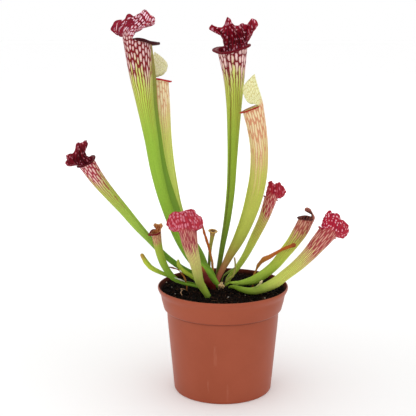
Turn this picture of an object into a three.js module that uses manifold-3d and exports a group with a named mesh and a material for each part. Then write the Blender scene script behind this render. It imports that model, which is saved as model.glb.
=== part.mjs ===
// A potted pitcher plant in millimetres, +Z up, the pot resting on z = 0 with its axis on the Z axis.
// The viewer stands on the -Y side.
// Every trumpet leaf, stem, dry leaf, the soil and the pot are bodies of their own.
import * as THREE from "three";
import { mergeVertices } from "three/addons/utils/BufferGeometryUtils.js";
import Module from "manifold-3d";

const wasm = await Module();
wasm.setup();

// ---- pot ------------------------------------------------------------------------------------------
// The outer wall from the base up, each row radius and height:
// tapered body, ledge, flared collar, out-turned rim.
const POT_OUTSIDE = [
  [44.3, 0],
  [45.3, 1],
  [51.1, 65],
  [51.7, 76.2],
  [53.9, 77],
  [54.9, 79.2],
  [56.3, 85],
  [57.4, 91],
  [59, 93.8],
  [60, 96.6],
];
const POT_HEIGHT = 98;
const RIM_LIP_INSET = 0.9;
const POT_WALL = 1.4;
const POT_FLOOR = 2;
const POT_SEGMENTS = 46;

// ---- soil -----------------------------------------------------------------------------------------
const SOIL_GAP = 0.5;
const SOIL_EDGE_HEIGHT = 91.5;
const MOUND_HEIGHT = 3.5;
const MOUND_CENTRE = [-3, 3.5];
const MOUND_SPREAD = 17;
const SOIL_CRUMB = 0.7;
const SOIL_RINGS = 7;
const SOIL_SECTORS = 28;
const HOLE_FLOOR = 84.5;
const HOLE_CLEARANCE = 0.4;
const HOLE_SIDES = 10;

// ---- leaf sheet -----------------------------------------------------------------------------------
const WALL = 0.9;
const WING_HALF_THICKNESS = 0.4;
const FRONT_EDGES = 5;
const NECK_EDGES = 6;
const FRAME_STEP = 0.002;
const HOOD_ROWS = [0, 0.3, 0.6, 0.84, 1];
const LIP_ANGLES = [-115, -45, 25, 100];
const TUBE_SHARE_HOLLOW = 0.3;

// Trumpet leaves.
// path: centre line from the root to the middle of the mouth, each row x, y, z, tube radius and wing width.
// face: compass angle of the mouth, 0 towards +X and -90 towards the viewer.
// neck: half angle of the back wall that carries on into the hood.
// hood: the hood's margin from one side of the neck to the other, each row measured from the middle of the
// mouth: sideways, forwards over the mouth and up along the tube.
const PITCHERS = {
  pitcher_tall_left: {
    face: 15,
    neck: 64,
    rise: 7,
    spout: 5,
    ears: 1,
    bead: 1.5,
    rows: 17,
    curl: 0.45,
    ruffle: 0.9,
    colour: 0x9db33f,
    path: [
      [-4.3, 2.2, 86, 1.7, 0.2],
      [-4.5, 2, 95.4, 1.8, 0.3],
      [-8.9, 1, 102.6, 2.4, 1.2],
      [-15, -0.5, 110.8, 3.2, 2.4],
      [-27, 1, 120, 4.1, 4.5],
      [-40.5, 4, 142, 4.5, 6.2],
      [-53, 6, 174, 4.8, 6.6],
      [-60.5, 8, 203, 5.5, 4.8],
      [-65, 9, 232, 6.3, 3.6],
      [-70, 10, 261, 7.6, 3.8],
      [-74, 11, 290, 10.2, 3.6],
      [-77, 12, 318, 12, 1.5],
    ],
    hood: [
      [-11, -4.3, 6],
      [-14, -0.7, 9.5],
      [-17.5, 1.4, 10.3],
      [-19, 6.7, 12.5],
      [-20, 8.5, 14.4],
      [-19, 14.5, 13.2],
      [-18.5, 13.6, 18.8],
      [-17, 11.8, 22],
      [-13, 7.4, 26.7],
      [-10, 5.4, 24.4],
      [-5, -1.9, 22.3],
      [-1, -4, 25.2],
      [4, -9.6, 20.5],
      [11, -13.3, 21.1],
      [16, -20.3, 14.6],
      [15.5, -16.6, 10.8],
      [14, -15.7, 8.5],
      [12.5, -11.2, 6.5],
      [11.3, -8, 4],
    ],
  },
  pitcher_tall_tan: {
    face: 0,
    neck: 62,
    rise: 4,
    spout: 1.5,
    ears: 0.6,
    bead: 0.8,
    rows: 11,
    curl: 0.1,
    ruffle: 0,
    colour: 0xd3ae7c,
    path: [
      [-12, 9, 86, 2.3, 0.2],
      [-12, 9.2, 98, 2.6, 0.3],
      [-21, 14.5, 120.6, 3.6, 0.8],
      [-34, 19, 141.4, 4, 1],
      [-43.6, 23.5, 164, 5.2, 1.2],
      [-49.8, 28, 187.5, 6.6, 1.2],
      [-54.2, 30, 212, 7.6, 1],
      [-57.3, 32, 236, 8.7, 0.8],
      [-59.2, 34, 260.7, 9.7, 0.6],
      [-60.5, 36, 283, 10.2, 0.3],
    ],
    hood: [
      [-8.8, -2, 3],
      [-10.5, 7, 6.5],
      [-9, 9.5, 16],
      [0, -1, 26],
      [9, 9.5, 16],
      [10.5, 7, 6.5],
      [8.8, -2, 3],
    ],
  },
  pitcher_tall_right: {
    face: -118,
    neck: 61,
    rise: 8.5,
    spout: 1.2,
    ears: 3.4,
    bead: 1.1,
    rows: 15,
    curl: 0.3,
    ruffle: 1.1,
    colour: 0x97b23c,
    path: [
      [-5, 14.5, 86, 1.9, 0.2],
      [-5, 15, 99, 2, 0.3],
      [-0.6, 18.5, 127.6, 2.3, 1.2],
      [4.1, 21, 154, 3.1, 2],
      [7.3, 23.5, 181, 3.7, 2.2],
      [8.7, 26, 207.4, 4.2, 2.2],
      [9.6, 28, 234, 5.2, 1.8],
      [10.3, 30, 260, 6.7, 1.5],
      [10.2, 32, 286, 9.5, 1],
      [8.7, 34, 311.5, 14, 0.4],
    ],
    hood: [
      [-11.8, -5.5, 8.5],
      [-12.4, -4, 12.2],
      [-14.6, -2, 17],
      [-19.2, -0.5, 20.1],
      [-22.6, 0, 20],
      [-21.6, -1.5, 24.2],
      [-15.6, -3, 21.2],
      [-10.6, -3.5, 21.7],
      [-3.2, 0, 28.9],
      [-1.8, -3.5, 24.5],
      [1.8, -8, 21.2],
      [6.6, -9, 23.3],
      [12, -9, 21.4],
      [16.7, -9, 26.3],
      [23, -8, 23.1],
      [23, -7, 18.7],
      [19.7, -6, 14.4],
      [16.6, -6, 10.8],
      [15.4, -6, 6.9],
    ],
  },
  pitcher_olive: {
    face: 180,
    neck: 58,
    rise: 3,
    spout: 1.6,
    ears: 0.4,
    bead: 0.7,
    rows: 11,
    curl: 0.1,
    ruffle: 0,
    colour: 0xc3bb5e,
    path: [
      [-4, 6.5, 86, 1.9, 0.2],
      [-4.6, 7, 100, 2, 0.3],
      [5.5, 8.2, 121, 3.2, 0.7],
      [15.3, 9.5, 139, 5, 0.9],
      [23.4, 10.8, 158.6, 6.3, 1],
      [29.3, 12, 178.5, 7.3, 1],
      [32.8, 12, 199, 7.5, 0.9],
      [33.3, 12, 220, 7.7, 0.8],
      [31, 12, 240, 8.4, 0.6],
      [27, 12, 259, 9.6, 0.3],
    ],
    hood: [
      [-8.5, -1, 4.5],
      [-10, 4.5, 8.5],
      [-9, 5, 20],
      [0, -7.4, 29.8],
      [9, 5, 20],
      [10, 4.5, 8.5],
      [8.5, -1, 4.5],
    ],
  },
  pitcher_left_leaning: {
    face: -50,
    neck: 62,
    rise: 4,
    spout: 1,
    ears: 1,
    bead: 0.8,
    rows: 11,
    curl: 0.3,
    ruffle: 0.8,
    colour: 0xa6ba48,
    path: [
      [-18, 7, 86, 2.1, 0.2],
      [-18.3, 7.2, 97.5, 2.3, 0.2],
      [-24, 8.5, 103.6, 2.6, 0.4],
      [-39.6, 7, 113, 2.7, 0.5],
      [-54, 4.5, 125.2, 2.8, 0.6],
      [-66.5, 2, 139.7, 3.2, 0.8],
      [-78.5, 0, 154, 4, 0.9],
      [-90, -1, 168.6, 4.6, 0.9],
      [-101.7, -2, 182.7, 5.5, 0.9],
      [-112.7, -3, 197, 6.6, 0.8],
      [-122.6, -4, 212.6, 7.7, 0.4],
    ],
    hood: [
      [-8.4, -4, 2.2],
      [-14.4, -3.6, 6],
      [-16.6, -2.6, 10],
      [-12.2, -4, 11.5],
      [-10.9, -3, 15.2],
      [-2.8, -3, 13.4],
      [3, -1.6, 18.6],
      [8, -2, 16.5],
      [12.8, -1.2, 15.6],
      [10.4, -1, 11.2],
      [6.8, -3, 9.4],
      [5.6, -3.8, 5],
      [6.4, -3.8, 2.6],
    ],
  },
  pitcher_front: {
    face: 80,
    neck: 64,
    rise: 3,
    spout: 0.8,
    ears: 0.4,
    bead: 0.7,
    rows: 9,
    curl: -0.3,
    ruffle: 0.8,
    colour: 0xb5bd62,
    path: [
      [-13.6, -21, 86, 2.7, 0.1],
      [-13.6, -21, 92.6, 2.8, 0.1],
      [-18.3, -21, 101, 3.4, 0.4],
      [-21.7, -24, 109, 3.9, 0.7],
      [-24.9, -30, 126.3, 5, 1.2],
      [-29, -35, 142.6, 6.7, 1],
      [-31.2, -40, 158, 7.9, 0.4],
    ],
    hood: [
      [-8.4, -3, 1],
      [-13.7, 0, 2.7],
      [-14, 2, 10.2],
      [-10, 4, 14.4],
      [-6.6, 4, 18.8],
      [-0.6, 3, 19.6],
      [3.8, 2, 17.9],
      [10.3, 4, 17.9],
      [15, 3, 14],
      [17.9, 1, 8.5],
      [16.5, 0, 2.3],
      [12.2, -2, 1.3],
      [8.3, -3, 2],
    ],
  },
  pitcher_right_back: {
    face: 95,
    neck: 62,
    rise: 2.5,
    spout: 0.6,
    ears: 0.2,
    bead: 0.6,
    rows: 9,
    curl: -0.2,
    ruffle: 0.6,
    colour: 0xb0b456,
    path: [
      [5, 17, 86, 2.1, 0.2],
      [5.2, 17.5, 97.5, 2.3, 0.2],
      [13.6, 20, 108.5, 2.6, 0.5],
      [21.5, 23, 120, 3.1, 0.8],
      [29.3, 26, 135, 4.1, 1.2],
      [38.6, 27, 154.7, 4.9, 1],
      [45, 28, 173.5, 6, 0.4],
    ],
    hood: [
      [-5.8, -2.5, 2.4],
      [-9.8, 0, 4],
      [-12, 1, 7.2],
      [-11.8, 2, 11.2],
      [-9.5, 3, 13.6],
      [-3, 3, 17],
      [1.5, 2, 14.2],
      [3.9, 3, 16.2],
      [6.7, 2, 14.6],
      [6.7, 1, 10.8],
      [6.5, 0, 5.2],
      [6.4, -2, 3],
      [5.8, -2.6, 1.4],
    ],
  },
  pitcher_right_hooked: {
    face: 180,
    neck: 50,
    rise: 5,
    spout: 0.8,
    ears: 0.3,
    bead: 0.6,
    rows: 12,
    curl: 0,
    ruffle: 0,
    colour: 0x9fb043,
    path: [
      [3.2, 6, 86, 0.9, 0.1],
      [3.3, 5.6, 95.6, 0.9, 0.1],
      [6.7, 4.5, 98.4, 1, 0.1],
      [11.3, 4, 98.4, 1.8, 0.2],
      [16.9, 3.5, 98.6, 2.5, 0.3],
      [29, 2.5, 101.8, 4.1, 0.4],
      [39.8, 2.2, 108.7, 4.3, 0.5],
      [49.2, 2, 117.4, 4.5, 0.6],
      [56.8, 1.5, 127.6, 5.1, 0.6],
      [64.4, 1, 138, 5.7, 0.5],
      [70.9, 0.5, 148.7, 6.6, 0.4],
      [76, 0, 160, 6.6, 0.3],
    ],
    hood: [
      [-5.2, -4.1, 3.2],
      [-4.6, -2.8, 6.2],
      [-3.8, -1, 8.4],
      [-3.2, 1.4, 9.4],
      [-2.4, 4, 9.4],
      [-1.2, 5.4, 8.2],
      [0, 5.2, 6.6],
      [1.2, 5.4, 8.2],
      [2.4, 4, 9.4],
      [3.2, 1.4, 9.4],
      [3.8, -1, 8.4],
      [4.6, -2.8, 6.2],
      [5.2, -4.1, 3.2],
    ],
  },
  pitcher_right_front: {
    face: 110,
    neck: 62,
    rise: 3,
    spout: 0.8,
    ears: 0.3,
    bead: 0.7,
    rows: 12,
    curl: -0.3,
    ruffle: 0.8,
    colour: 0xacc04c,
    path: [
      [5.6, -0.6, 86, 1, 0.1],
      [5.9, -0.8, 95.4, 1, 0.1],
      [10.3, -4.3, 97, 1.8, 0.1],
      [14.7, -9, 96.8, 2.4, 0.2],
      [23.2, -15, 96.4, 3.1, 0.3],
      [31.7, -17.5, 98, 3.9, 0.4],
      [45.3, -18, 104.1, 4.9, 0.6],
      [55.7, -19, 112.6, 4.9, 0.8],
      [66.3, -20, 121.7, 5.4, 0.8],
      [75.7, -21, 131.5, 6.1, 0.7],
      [84.4, -22, 142.4, 7.3, 0.5],
      [91.8, -22, 151.6, 8.2, 0.3],
    ],
    hood: [
      [-8.2, -3.5, 3],
      [-14.2, -1, 4.4],
      [-17.4, 0, 9],
      [-14, 2, 16.1],
      [-7.8, 3, 18],
      [-2.5, 2, 17.8],
      [2.5, 3, 19.7],
      [7.2, 3, 17.6],
      [11.3, 3, 17.2],
      [13.1, 2, 11.9],
      [11.9, 0, 7.4],
      [11.2, -2, 2.5],
      [8.4, -3.8, 1.5],
    ],
  },
  pitcher_small_withered: {
    face: -150,
    neck: 66,
    rise: 1.5,
    spout: 2,
    ears: 1,
    bead: 0.8,
    rows: 9,
    curl: 0.2,
    ruffle: 0,
    colour: 0x9aa843,
    path: [
      [-17.4, -4, 86, 1.1, 0.1],
      [-18.1, -4, 94.6, 1.1, 0.1],
      [-26.1, -4, 97.9, 1.2, 0.1],
      [-35.8, -4, 100.3, 1.5, 0.1],
      [-45, -4, 105.4, 2.6, 0.3],
      [-52, -5, 115, 3, 0.4],
      [-56.4, -7, 126.3, 3.4, 0.4],
      [-59, -8, 138, 3.8, 0.3],
      [-60.3, -10, 150, 4.5, 0.2],
    ],
    hood: [
      [-4.4, -1.4, 3.2],
      [-5, -0.6, 5.4],
      [-2.8, -1.4, 7.6],
      [0, -3.4, 6.9],
      [2.2, -5.4, 8],
      [4.8, -5.2, 6],
      [4.6, -3, 3.4],
    ],
  },
  pitcher_slender_funnel: {
    face: -90,
    neck: 0,
    rise: 0.5,
    spout: 0.5,
    ears: 0.5,
    bead: 0.5,
    rows: 9,
    curl: 0,
    ruffle: 0,
    colour: 0x9c9a45,
    path: [
      [-13, 18, 86, 0.95, 0.1],
      [-13, 18, 97.5, 1, 0.1],
      [-12.7, 16, 107, 1.2, 0.1],
      [-12.4, 14, 118, 1.4, 0.1],
      [-11.5, 12, 130, 1.5, 0.1],
      [-10, 11, 140, 2, 0.1],
      [-9.2, 10, 146.4, 3, 0.1],
    ],
    hood: [],
  },
};

// Slim solid pieces. path: rows of x, y, z and half width. thin: thickness over width.
// wide: compass angle of the width.
const STALKS = {
  leaf_low_left: {
    thin: 0.9,
    wide: 90,
    rows: 12,
    colour: 0xa9b345,
    path: [
      [-18, 2.9, 86, 0.9],
      [-18.6, 3, 94.6, 0.9],
      [-26.2, 4.2, 97.5, 1],
      [-36.4, 5.2, 99.4, 1.2],
      [-45.3, 5, 102.8, 1.6],
      [-53.3, 5, 106.2, 1.9],
      [-60, 5, 109.3, 2.2],
      [-66, 4.5, 112.8, 2.5],
      [-71, 4, 118.7, 2.5],
      [-74.7, 4, 125.3, 1.9],
    ],
  },
  leaf_bud_left: {
    thin: 0.9,
    wide: 90,
    rows: 9,
    colour: 0xaac34f,
    path: [
      [-19.5, 0.5, 86, 1.6],
      [-19.8, 0.5, 97, 1.8],
      [-25.3, 1, 103.4, 2.2],
      [-32.8, 1, 108.4, 2.1],
      [-38, 1, 112.6, 2],
      [-40.6, 0.5, 117, 2],
      [-41.2, 0, 121, 1.3],
    ],
  },
  flower_stalk_dry: {
    thin: 0.9,
    wide: 0,
    rows: 11,
    colour: 0x9a5a2a,
    path: [
      [-9, 6.2, 86, 0.9],
      [-9, 6.2, 97, 1],
      [-9, 5.8, 106, 1],
      [-9.7, 4.4, 117, 1.1],
      [-11.5, 2, 127, 1.1],
      [-13.6, -1, 136, 1.15],
      [-16.8, -3, 147, 1.1],
      [-18.8, -4.5, 155, 0.8],
    ],
  },
  leaf_dry_right: {
    thin: 0.4,
    wide: -24,
    rows: 12,
    colour: 0xa5602c,
    path: [
      [28, 11, 86, 0.8],
      [28.2, 10.6, 96, 0.8],
      [28.8, 8.5, 103.3, 0.8],
      [31.1, 5.5, 111, 0.9],
      [33.6, 2.5, 117, 1.6],
      [37.2, -1, 121.6, 2.2],
      [42.2, -3.5, 125.2, 2],
      [47.9, -6, 129.5, 1.5],
      [53.4, -8, 133.2, 1.4],
      [59, -10, 136.1, 1.4],
      [64.2, -12, 138.5, 2],
    ],
  },
  tendril_curled: {
    thin: 0.8,
    wide: 0,
    rows: 10,
    colour: 0xb59f62,
    path: [
      [2, 7.2, 86, 0.9],
      [2.3, 7.2, 96.5, 0.9],
      [5.5, 7.2, 101.6, 1.1],
      [9, 7, 104, 1.1],
      [11, 6.8, 108.5, 0.9],
      [11.6, 6.5, 115, 0.8],
      [10.8, 6, 122, 0.7],
    ],
  },
  leaf_small_centre: {
    thin: 0.5,
    wide: 90,
    rows: 9,
    colour: 0x7f8a3c,
    path: [
      [-0.8, 12.2, 86, 1],
      [-0.8, 12, 97, 1.1],
      [0.8, 11, 103, 1.3],
      [4.4, 10.5, 106.5, 1.6],
      [8.3, 10.5, 109.2, 1.6],
      [12.2, 10.5, 111.9, 0.9],
    ],
  },
  sheath_old_red: {
    thin: 0.34,
    wide: 20,
    rows: 8,
    colour: 0x7a2a1c,
    path: [
      [-9, -3.5, 86, 2.2],
      [-9.4, -3.6, 96, 2.6],
      [-14, -9.2, 103.5, 2.9],
      [-16.4, -8.6, 110, 2],
      [-19.4, -8, 117, 1],
    ],
  },
  crown_stub: {
    thin: 0.85,
    wide: 0,
    rows: 4,
    colour: 0xb08a55,
    path: [
      [-1.6, -1.2, 86, 2.2],
      [-1.5, -1.2, 93, 2.5],
      [-1.4, -1, 97.6, 2.5],
      [-0.8, -0.6, 99.6, 1.7],
    ],
  },
  leaf_dry_curl: {
    thin: 0.55,
    wide: 90,
    rows: 11,
    colour: 0x6b3a24,
    path: [
      [-33.2, 1, 86, 1],
      [-33.4, 1, 96.5, 1.1],
      [-35, 1.6, 103, 1.2],
      [-37.6, 2.6, 107.4, 1.2],
      [-41, 3.4, 111, 1.1],
      [-45, 3.2, 112.8, 1.1],
      [-49, 2.4, 114, 0.9],
    ],
  },
};

// ---- shared helpers -------------------------------------------------------------------------------
const radians = THREE.MathUtils.degToRad;
const smooth = THREE.MathUtils.smoothstep;

// A value on the smooth curve through rows of numbers, t from 0 at the first row to 1 at the last.
function onCurve(rows, t) {
  const last = rows.length - 1;
  const place = THREE.MathUtils.clamp(t, 0, 1) * last;
  const i = Math.min(Math.floor(place), last - 1);
  const f = place - i;
  const mirrored = (a, b) => a.map((value, k) => 2 * value - b[k]);
  const b = rows[i];
  const c = rows[i + 1];
  const a = i > 0 ? rows[i - 1] : mirrored(b, c);
  const d = i < last - 1 ? rows[i + 2] : mirrored(c, b);
  return b.map(
    (_, k) =>
      b[k] +
      0.5 * f * (c[k] - a[k]) +
      f * f * (a[k] - 2.5 * b[k] + 2 * c[k] - 0.5 * d[k]) +
      f * f * f * (1.5 * (b[k] - c[k]) + 0.5 * (d[k] - a[k])),
  );
}

// The frame of a path at t: middle, along, front and side directions.
function frameAt(path, t, compass) {
  const at = (value) => new THREE.Vector3(...onCurve(path, value).slice(0, 3));
  const along = at(Math.min(t + FRAME_STEP, 1))
    .sub(at(Math.max(t - FRAME_STEP, 0)))
    .normalize();
  const angle = radians(compass);
  const front = new THREE.Vector3(Math.cos(angle), Math.sin(angle), 0);
  front.addScaledVector(along, -front.dot(along)).normalize();
  const side = new THREE.Vector3().crossVectors(along, front);
  return { middle: at(t), along, front, side };
}

// Collects points and faces of one closed surface.
class Surface {
  constructor() {
    this.points = [];
    this.faces = [];
  }
  add(point) {
    this.points.push(point.x, point.y, point.z);
    return this.points.length / 3 - 1;
  }
  face(a, b, c) {
    if (a !== b && b !== c && a !== c) this.faces.push(a, b, c);
  }
  // Faces between two rows of points of equal length, seen from the right of the walk from low to high.
  strip(low, high) {
    for (let i = 0; i + 1 < low.length; i++) {
      this.face(low[i], low[i + 1], high[i + 1]);
      this.face(low[i], high[i + 1], high[i]);
    }
  }
  fan(centre, ring) {
    for (let i = 0; i + 1 < ring.length; i++) this.face(centre, ring[i], ring[i + 1]);
  }
  geometry() {
    const made = new THREE.BufferGeometry();
    made.setAttribute("position", new THREE.Float32BufferAttribute(this.points, 3));
    made.setIndex(this.faces);
    return mergeVertices(made, 1e-3);
  }
}

// ---- trumpet leaves -------------------------------------------------------------------------------
// The angles round the tube, from the mouth side: the wing's two edges, one side, the neck, the other side.
function columnsOf(leaf) {
  const columns = [{ wing: "tip", sign: 1 }, { wing: "root", sign: 1 }];
  const neckStart = 180 - leaf.neck;
  const add = (from, to, edges) => {
    for (let i = 1; i <= edges; i++) columns.push({ from, to, share: i / edges });
  };
  if (leaf.neck > 0) {
    add(0, neckStart, FRONT_EDGES);
    add(neckStart, 180 + leaf.neck, NECK_EDGES);
    add(180 + leaf.neck, 360, FRONT_EDGES);
  } else {
    add(0, 180, FRONT_EDGES);
    add(180, 360, FRONT_EDGES);
  }
  columns.pop();
  columns.push({ wing: "root", sign: -1 }, { wing: "tip", sign: -1 });
  return columns;
}

// Angle of a column in degrees on a tube of this radius, with the wing's roots side by side at the front.
function angleOf(column, radius) {
  const root = THREE.MathUtils.radToDeg(Math.asin(Math.min(0.35, (2 * WING_HALF_THICKNESS) / radius)));
  if (column.wing === "root") return column.sign > 0 ? root : 360 - root;
  if (column.wing === "tip") return column.sign > 0 ? root * 0.45 : 360 - root * 0.45;
  const raw = THREE.MathUtils.lerp(column.from, column.to, column.share);
  if (column.from === 0) return root + (raw * (column.to - root)) / column.to;
  if (column.to === 360) {
    return 360 - root - ((360 - raw) * (360 - root - column.from)) / (360 - column.from);
  }
  return raw;
}

// How high the mouth's edge stands above its middle at an angle: lowest at the front, raised at the sides.
const rimHeight = (leaf, angle) => leaf.rise * (0.5 - (0.5 + 0.5 * Math.cos(radians(angle))) ** 1.6);

function wallPoint(leaf, frame, column, radius, wing, height) {
  const angle = angleOf(column, radius);
  const turn = radians(angle);
  const point = frame.middle.clone().addScaledVector(frame.along, height * rimHeight(leaf, angle));
  if (column.wing === "tip") {
    const reach = Math.max(radius + wing, radius * Math.cos(turn) + 0.1);
    return point
      .addScaledVector(frame.front, reach)
      .addScaledVector(frame.side, column.sign * WING_HALF_THICKNESS * 0.7);
  }
  return point
    .addScaledVector(frame.front, radius * Math.cos(turn))
    .addScaledVector(frame.side, radius * Math.sin(turn));
}

// How far the rolled lip stands out at an angle: a spout at the front, an ear at each side, gone at the neck.
function lipReach(leaf, angle) {
  const off = Math.abs(angle > 180 ? angle - 360 : angle);
  const start = 180 - leaf.neck;
  const fade = leaf.neck > 0 ? 1 - smooth(off, start - 22, start) : 1;
  const spout = leaf.spout * Math.exp(-((off / 26) ** 2));
  const ears = leaf.ears * Math.exp(-(((off - 78) / 26) ** 2));
  return { out: 0.2 + fade * (0.6 * leaf.bead + spout + ears), bead: 0.4 + fade * (leaf.bead - 0.4) };
}

// A point of the hood's outer face: across 0..1 along the margin, up 0 at the neck and 1 at the margin.
function hoodPoint(leaf, frame, radius, across, up) {
  const angle = 180 + leaf.neck * (1 - 2 * across);
  const turn = radians(angle);
  const local = (side, front, along) =>
    new THREE.Vector3()
      .addScaledVector(frame.side, side)
      .addScaledVector(frame.front, front)
      .addScaledVector(frame.along, along);
  const low = local(radius * Math.sin(turn), radius * Math.cos(turn), rimHeight(leaf, angle));
  const high = local(...onCurve(leaf.hood, across));
  const wave = leaf.ruffle * Math.cos(Math.PI * across * (leaf.hood.length - 1));
  high.addScaledVector(frame.front, wave);
  const span = high.clone().sub(low);
  const reach = span.length();
  const outward = span.normalize().addScaledVector(frame.front, -leaf.curl).normalize();
  const first = low.clone().addScaledVector(frame.along, 0.38 * reach);
  const second = high.clone().addScaledVector(outward, -0.33 * reach);
  const down = 1 - up;
  return frame.middle
    .clone()
    .addScaledVector(low, down ** 3)
    .addScaledVector(first, 3 * down * down * up)
    .addScaledVector(second, 3 * down * up * up)
    .addScaledVector(high, up ** 3);
}

// The direction out of the hood's outer face.
function hoodNormal(leaf, frame, radius, across, up) {
  const step = 0.01;
  const at = (a, b) => hoodPoint(leaf, frame, radius, a, b);
  const a0 = Math.max(across - step, 0);
  const a1 = Math.min(across + step, 1);
  const b0 = Math.max(up - step, 0);
  const b1 = Math.min(up + step, 1);
  const wide = at(a1, up).sub(at(a0, up));
  const tall = at(across, b1).sub(at(across, b0));
  return tall.cross(wide).normalize();
}

function pitcherGeometry(leaf) {
  const surface = new Surface();
  const columns = columnsOf(leaf);
  const count = columns.length;
  const closed = (row) => [...row, row[0]];
  const rim = frameAt(leaf.path, 1, leaf.face);
  const rimRow = onCurve(leaf.path, 1);
  const rimRadius = rimRow[3];

  // Outer wall from the root to the mouth's edge.
  const outerRows = [];
  for (let i = 0; i <= leaf.rows; i++) {
    const t = i / leaf.rows;
    const [, , , radius, wing] = onCurve(leaf.path, t);
    const frame = frameAt(leaf.path, t, leaf.face);
    const ring = columns.map((column) => wallPoint(leaf, frame, column, radius, wing, t ** 6));
    outerRows.push(ring.map((point) => surface.add(point)));
  }
  const root = surface.add(frameAt(leaf.path, 0, leaf.face).middle);
  surface.fan(root, closed(outerRows[0]).reverse());

  // The columns that belong to the neck, if the leaf has a hood.
  const neckFirst = leaf.neck > 0 ? 1 + FRONT_EDGES : -1;
  const neckLast = neckFirst + NECK_EDGES;
  const inNeck = (k) => neckFirst >= 0 && k >= neckFirst && k < neckLast;

  // Inner wall from the mouth down to the floor of the hollow.
  const innerRows = [];
  const hollowRows = Math.max(2, Math.round(leaf.rows * TUBE_SHARE_HOLLOW));
  for (let i = 0; i <= hollowRows; i++) {
    const t = 1 - (i / hollowRows) * TUBE_SHARE_HOLLOW;
    const radius = onCurve(leaf.path, t)[3];
    const frame = frameAt(leaf.path, t, leaf.face);
    innerRows.push(
      columns.map((column) => {
        const turn = radians(angleOf(column, radius));
        const inside = radius - WALL;
        const lift = i === 0 ? 0.25 * lipReach(leaf, angleOf(column, radius)).bead : 0;
        return surface.add(
          frame.middle
            .clone()
            .addScaledVector(frame.along, t ** 6 * rimHeight(leaf, angleOf(column, radius)) + lift)
            .addScaledVector(frame.front, inside * Math.cos(turn))
            .addScaledVector(frame.side, inside * Math.sin(turn)),
        );
      }),
    );
  }
  for (let i = 0; i < hollowRows; i++) surface.strip(closed(innerRows[i]), closed(innerRows[i + 1]));
  const floor = surface.add(frameAt(leaf.path, 1 - TUBE_SHARE_HOLLOW, leaf.face).middle);
  surface.fan(floor, closed(innerRows[hollowRows]));

  // Outer wall faces; the last ring below the neck is fanned to the hood's finer first row.
  for (let i = 0; i + 2 < outerRows.length; i++) {
    surface.strip(closed(outerRows[i]), closed(outerRows[i + 1]));
  }
  const below = closed(outerRows[leaf.rows - 1]);
  const top = closed(outerRows[leaf.rows]);
  const innerTop = closed(innerRows[0]);
  const hoodEdges = leaf.neck > 0 ? 2 * (leaf.hood.length - 1) : 0;
  const outerHood = [];
  const innerHood = [];
  for (const up of leaf.neck > 0 ? HOOD_ROWS : []) {
    const outer = [];
    const inner = [];
    for (let k = 0; k <= hoodEdges; k++) {
      const across = 1 - k / hoodEdges;
      const point = hoodPoint(leaf, rim, rimRadius, across, up);
      const onWall = up === 0 && (k * NECK_EDGES) % hoodEdges === 0;
      const column = neckFirst + (k * NECK_EDGES) / hoodEdges;
      outer.push(onWall ? top[column] : surface.add(point));
      const normal = hoodNormal(leaf, rim, rimRadius, across, up);
      inner.push(onWall ? innerTop[column] : surface.add(point.clone().addScaledVector(normal, -WALL)));
    }
    outerHood.push(outer);
    innerHood.push(inner);
  }
  const per = hoodEdges / NECK_EDGES;
  for (let k = 0; k < count; k++) {
    if (!inNeck(k)) {
      surface.strip([below[k], below[k + 1]], [top[k], top[k + 1]]);
      continue;
    }
    const start = (k - neckFirst) * per;
    const half = Math.floor(per / 2);
    const fine = outerHood[0].slice(start, start + per + 1);
    for (let j = 0; j < half; j++) surface.face(below[k], fine[j + 1], fine[j]);
    surface.face(below[k], below[k + 1], fine[half]);
    for (let j = half; j < per; j++) surface.face(below[k + 1], fine[j + 1], fine[j]);
  }

  // The inner wall's first row also meets the finer first row of the hood's inner face.
  if (leaf.neck > 0) {
    for (let k = neckFirst; k < neckLast; k++) {
      const start = (k - neckFirst) * per;
      const fine = innerHood[0].slice(start, start + per + 1);
      for (let j = 1; j + 1 <= per; j++) surface.face(fine[0], fine[j], fine[j + 1]);
    }
    for (let i = 0; i + 1 < HOOD_ROWS.length; i++) {
      surface.strip(outerHood[i], outerHood[i + 1]);
      surface.strip(innerHood[i + 1], innerHood[i]);
    }
    const lastRow = HOOD_ROWS.length - 1;
    surface.strip(outerHood[lastRow], innerHood[lastRow]);
    const sideOf = (rows, k) => rows.map((row) => row[k]);
    surface.strip(sideOf(outerHood, 0), sideOf(innerHood, 0));
    surface.strip(sideOf(innerHood, hoodEdges), sideOf(outerHood, hoodEdges));
  }

  // The rolled lip along the open front and sides of the mouth.
  const lipRows = columns.map((column, k) => {
    if (neckFirst >= 0 && k > neckFirst && k < neckLast) return [];
    const angle = angleOf(column, rimRadius);
    const turn = radians(angle);
    const { out, bead } = lipReach(leaf, angle);
    const outward = rim.front.clone().multiplyScalar(Math.cos(turn));
    outward.addScaledVector(rim.side, Math.sin(turn));
    const wallTop = new THREE.Vector3(...surface.points.slice(3 * top[k], 3 * top[k] + 3));
    const roll = LIP_ANGLES.map((value) => {
      const bend = radians(value);
      return surface.add(
        wallTop
          .clone()
          .addScaledVector(outward, out + bead * Math.cos(bend))
          .addScaledVector(rim.along, bead * Math.sin(bend)),
      );
    });
    return [top[k], ...roll, innerTop[k]];
  });
  lipRows.push(lipRows[0]);
  for (let k = 0; k < count; k++) if (!inNeck(k)) surface.strip(lipRows[k + 1], lipRows[k]);
  if (neckFirst >= 0) {
    const endCap = (row) => {
      for (let j = 1; j + 1 < row.length; j++) surface.face(row[0], row[j], row[j + 1]);
    };
    endCap([...lipRows[neckFirst]].reverse());
    endCap(lipRows[neckLast]);
  }
  return surface.geometry();
}

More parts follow.
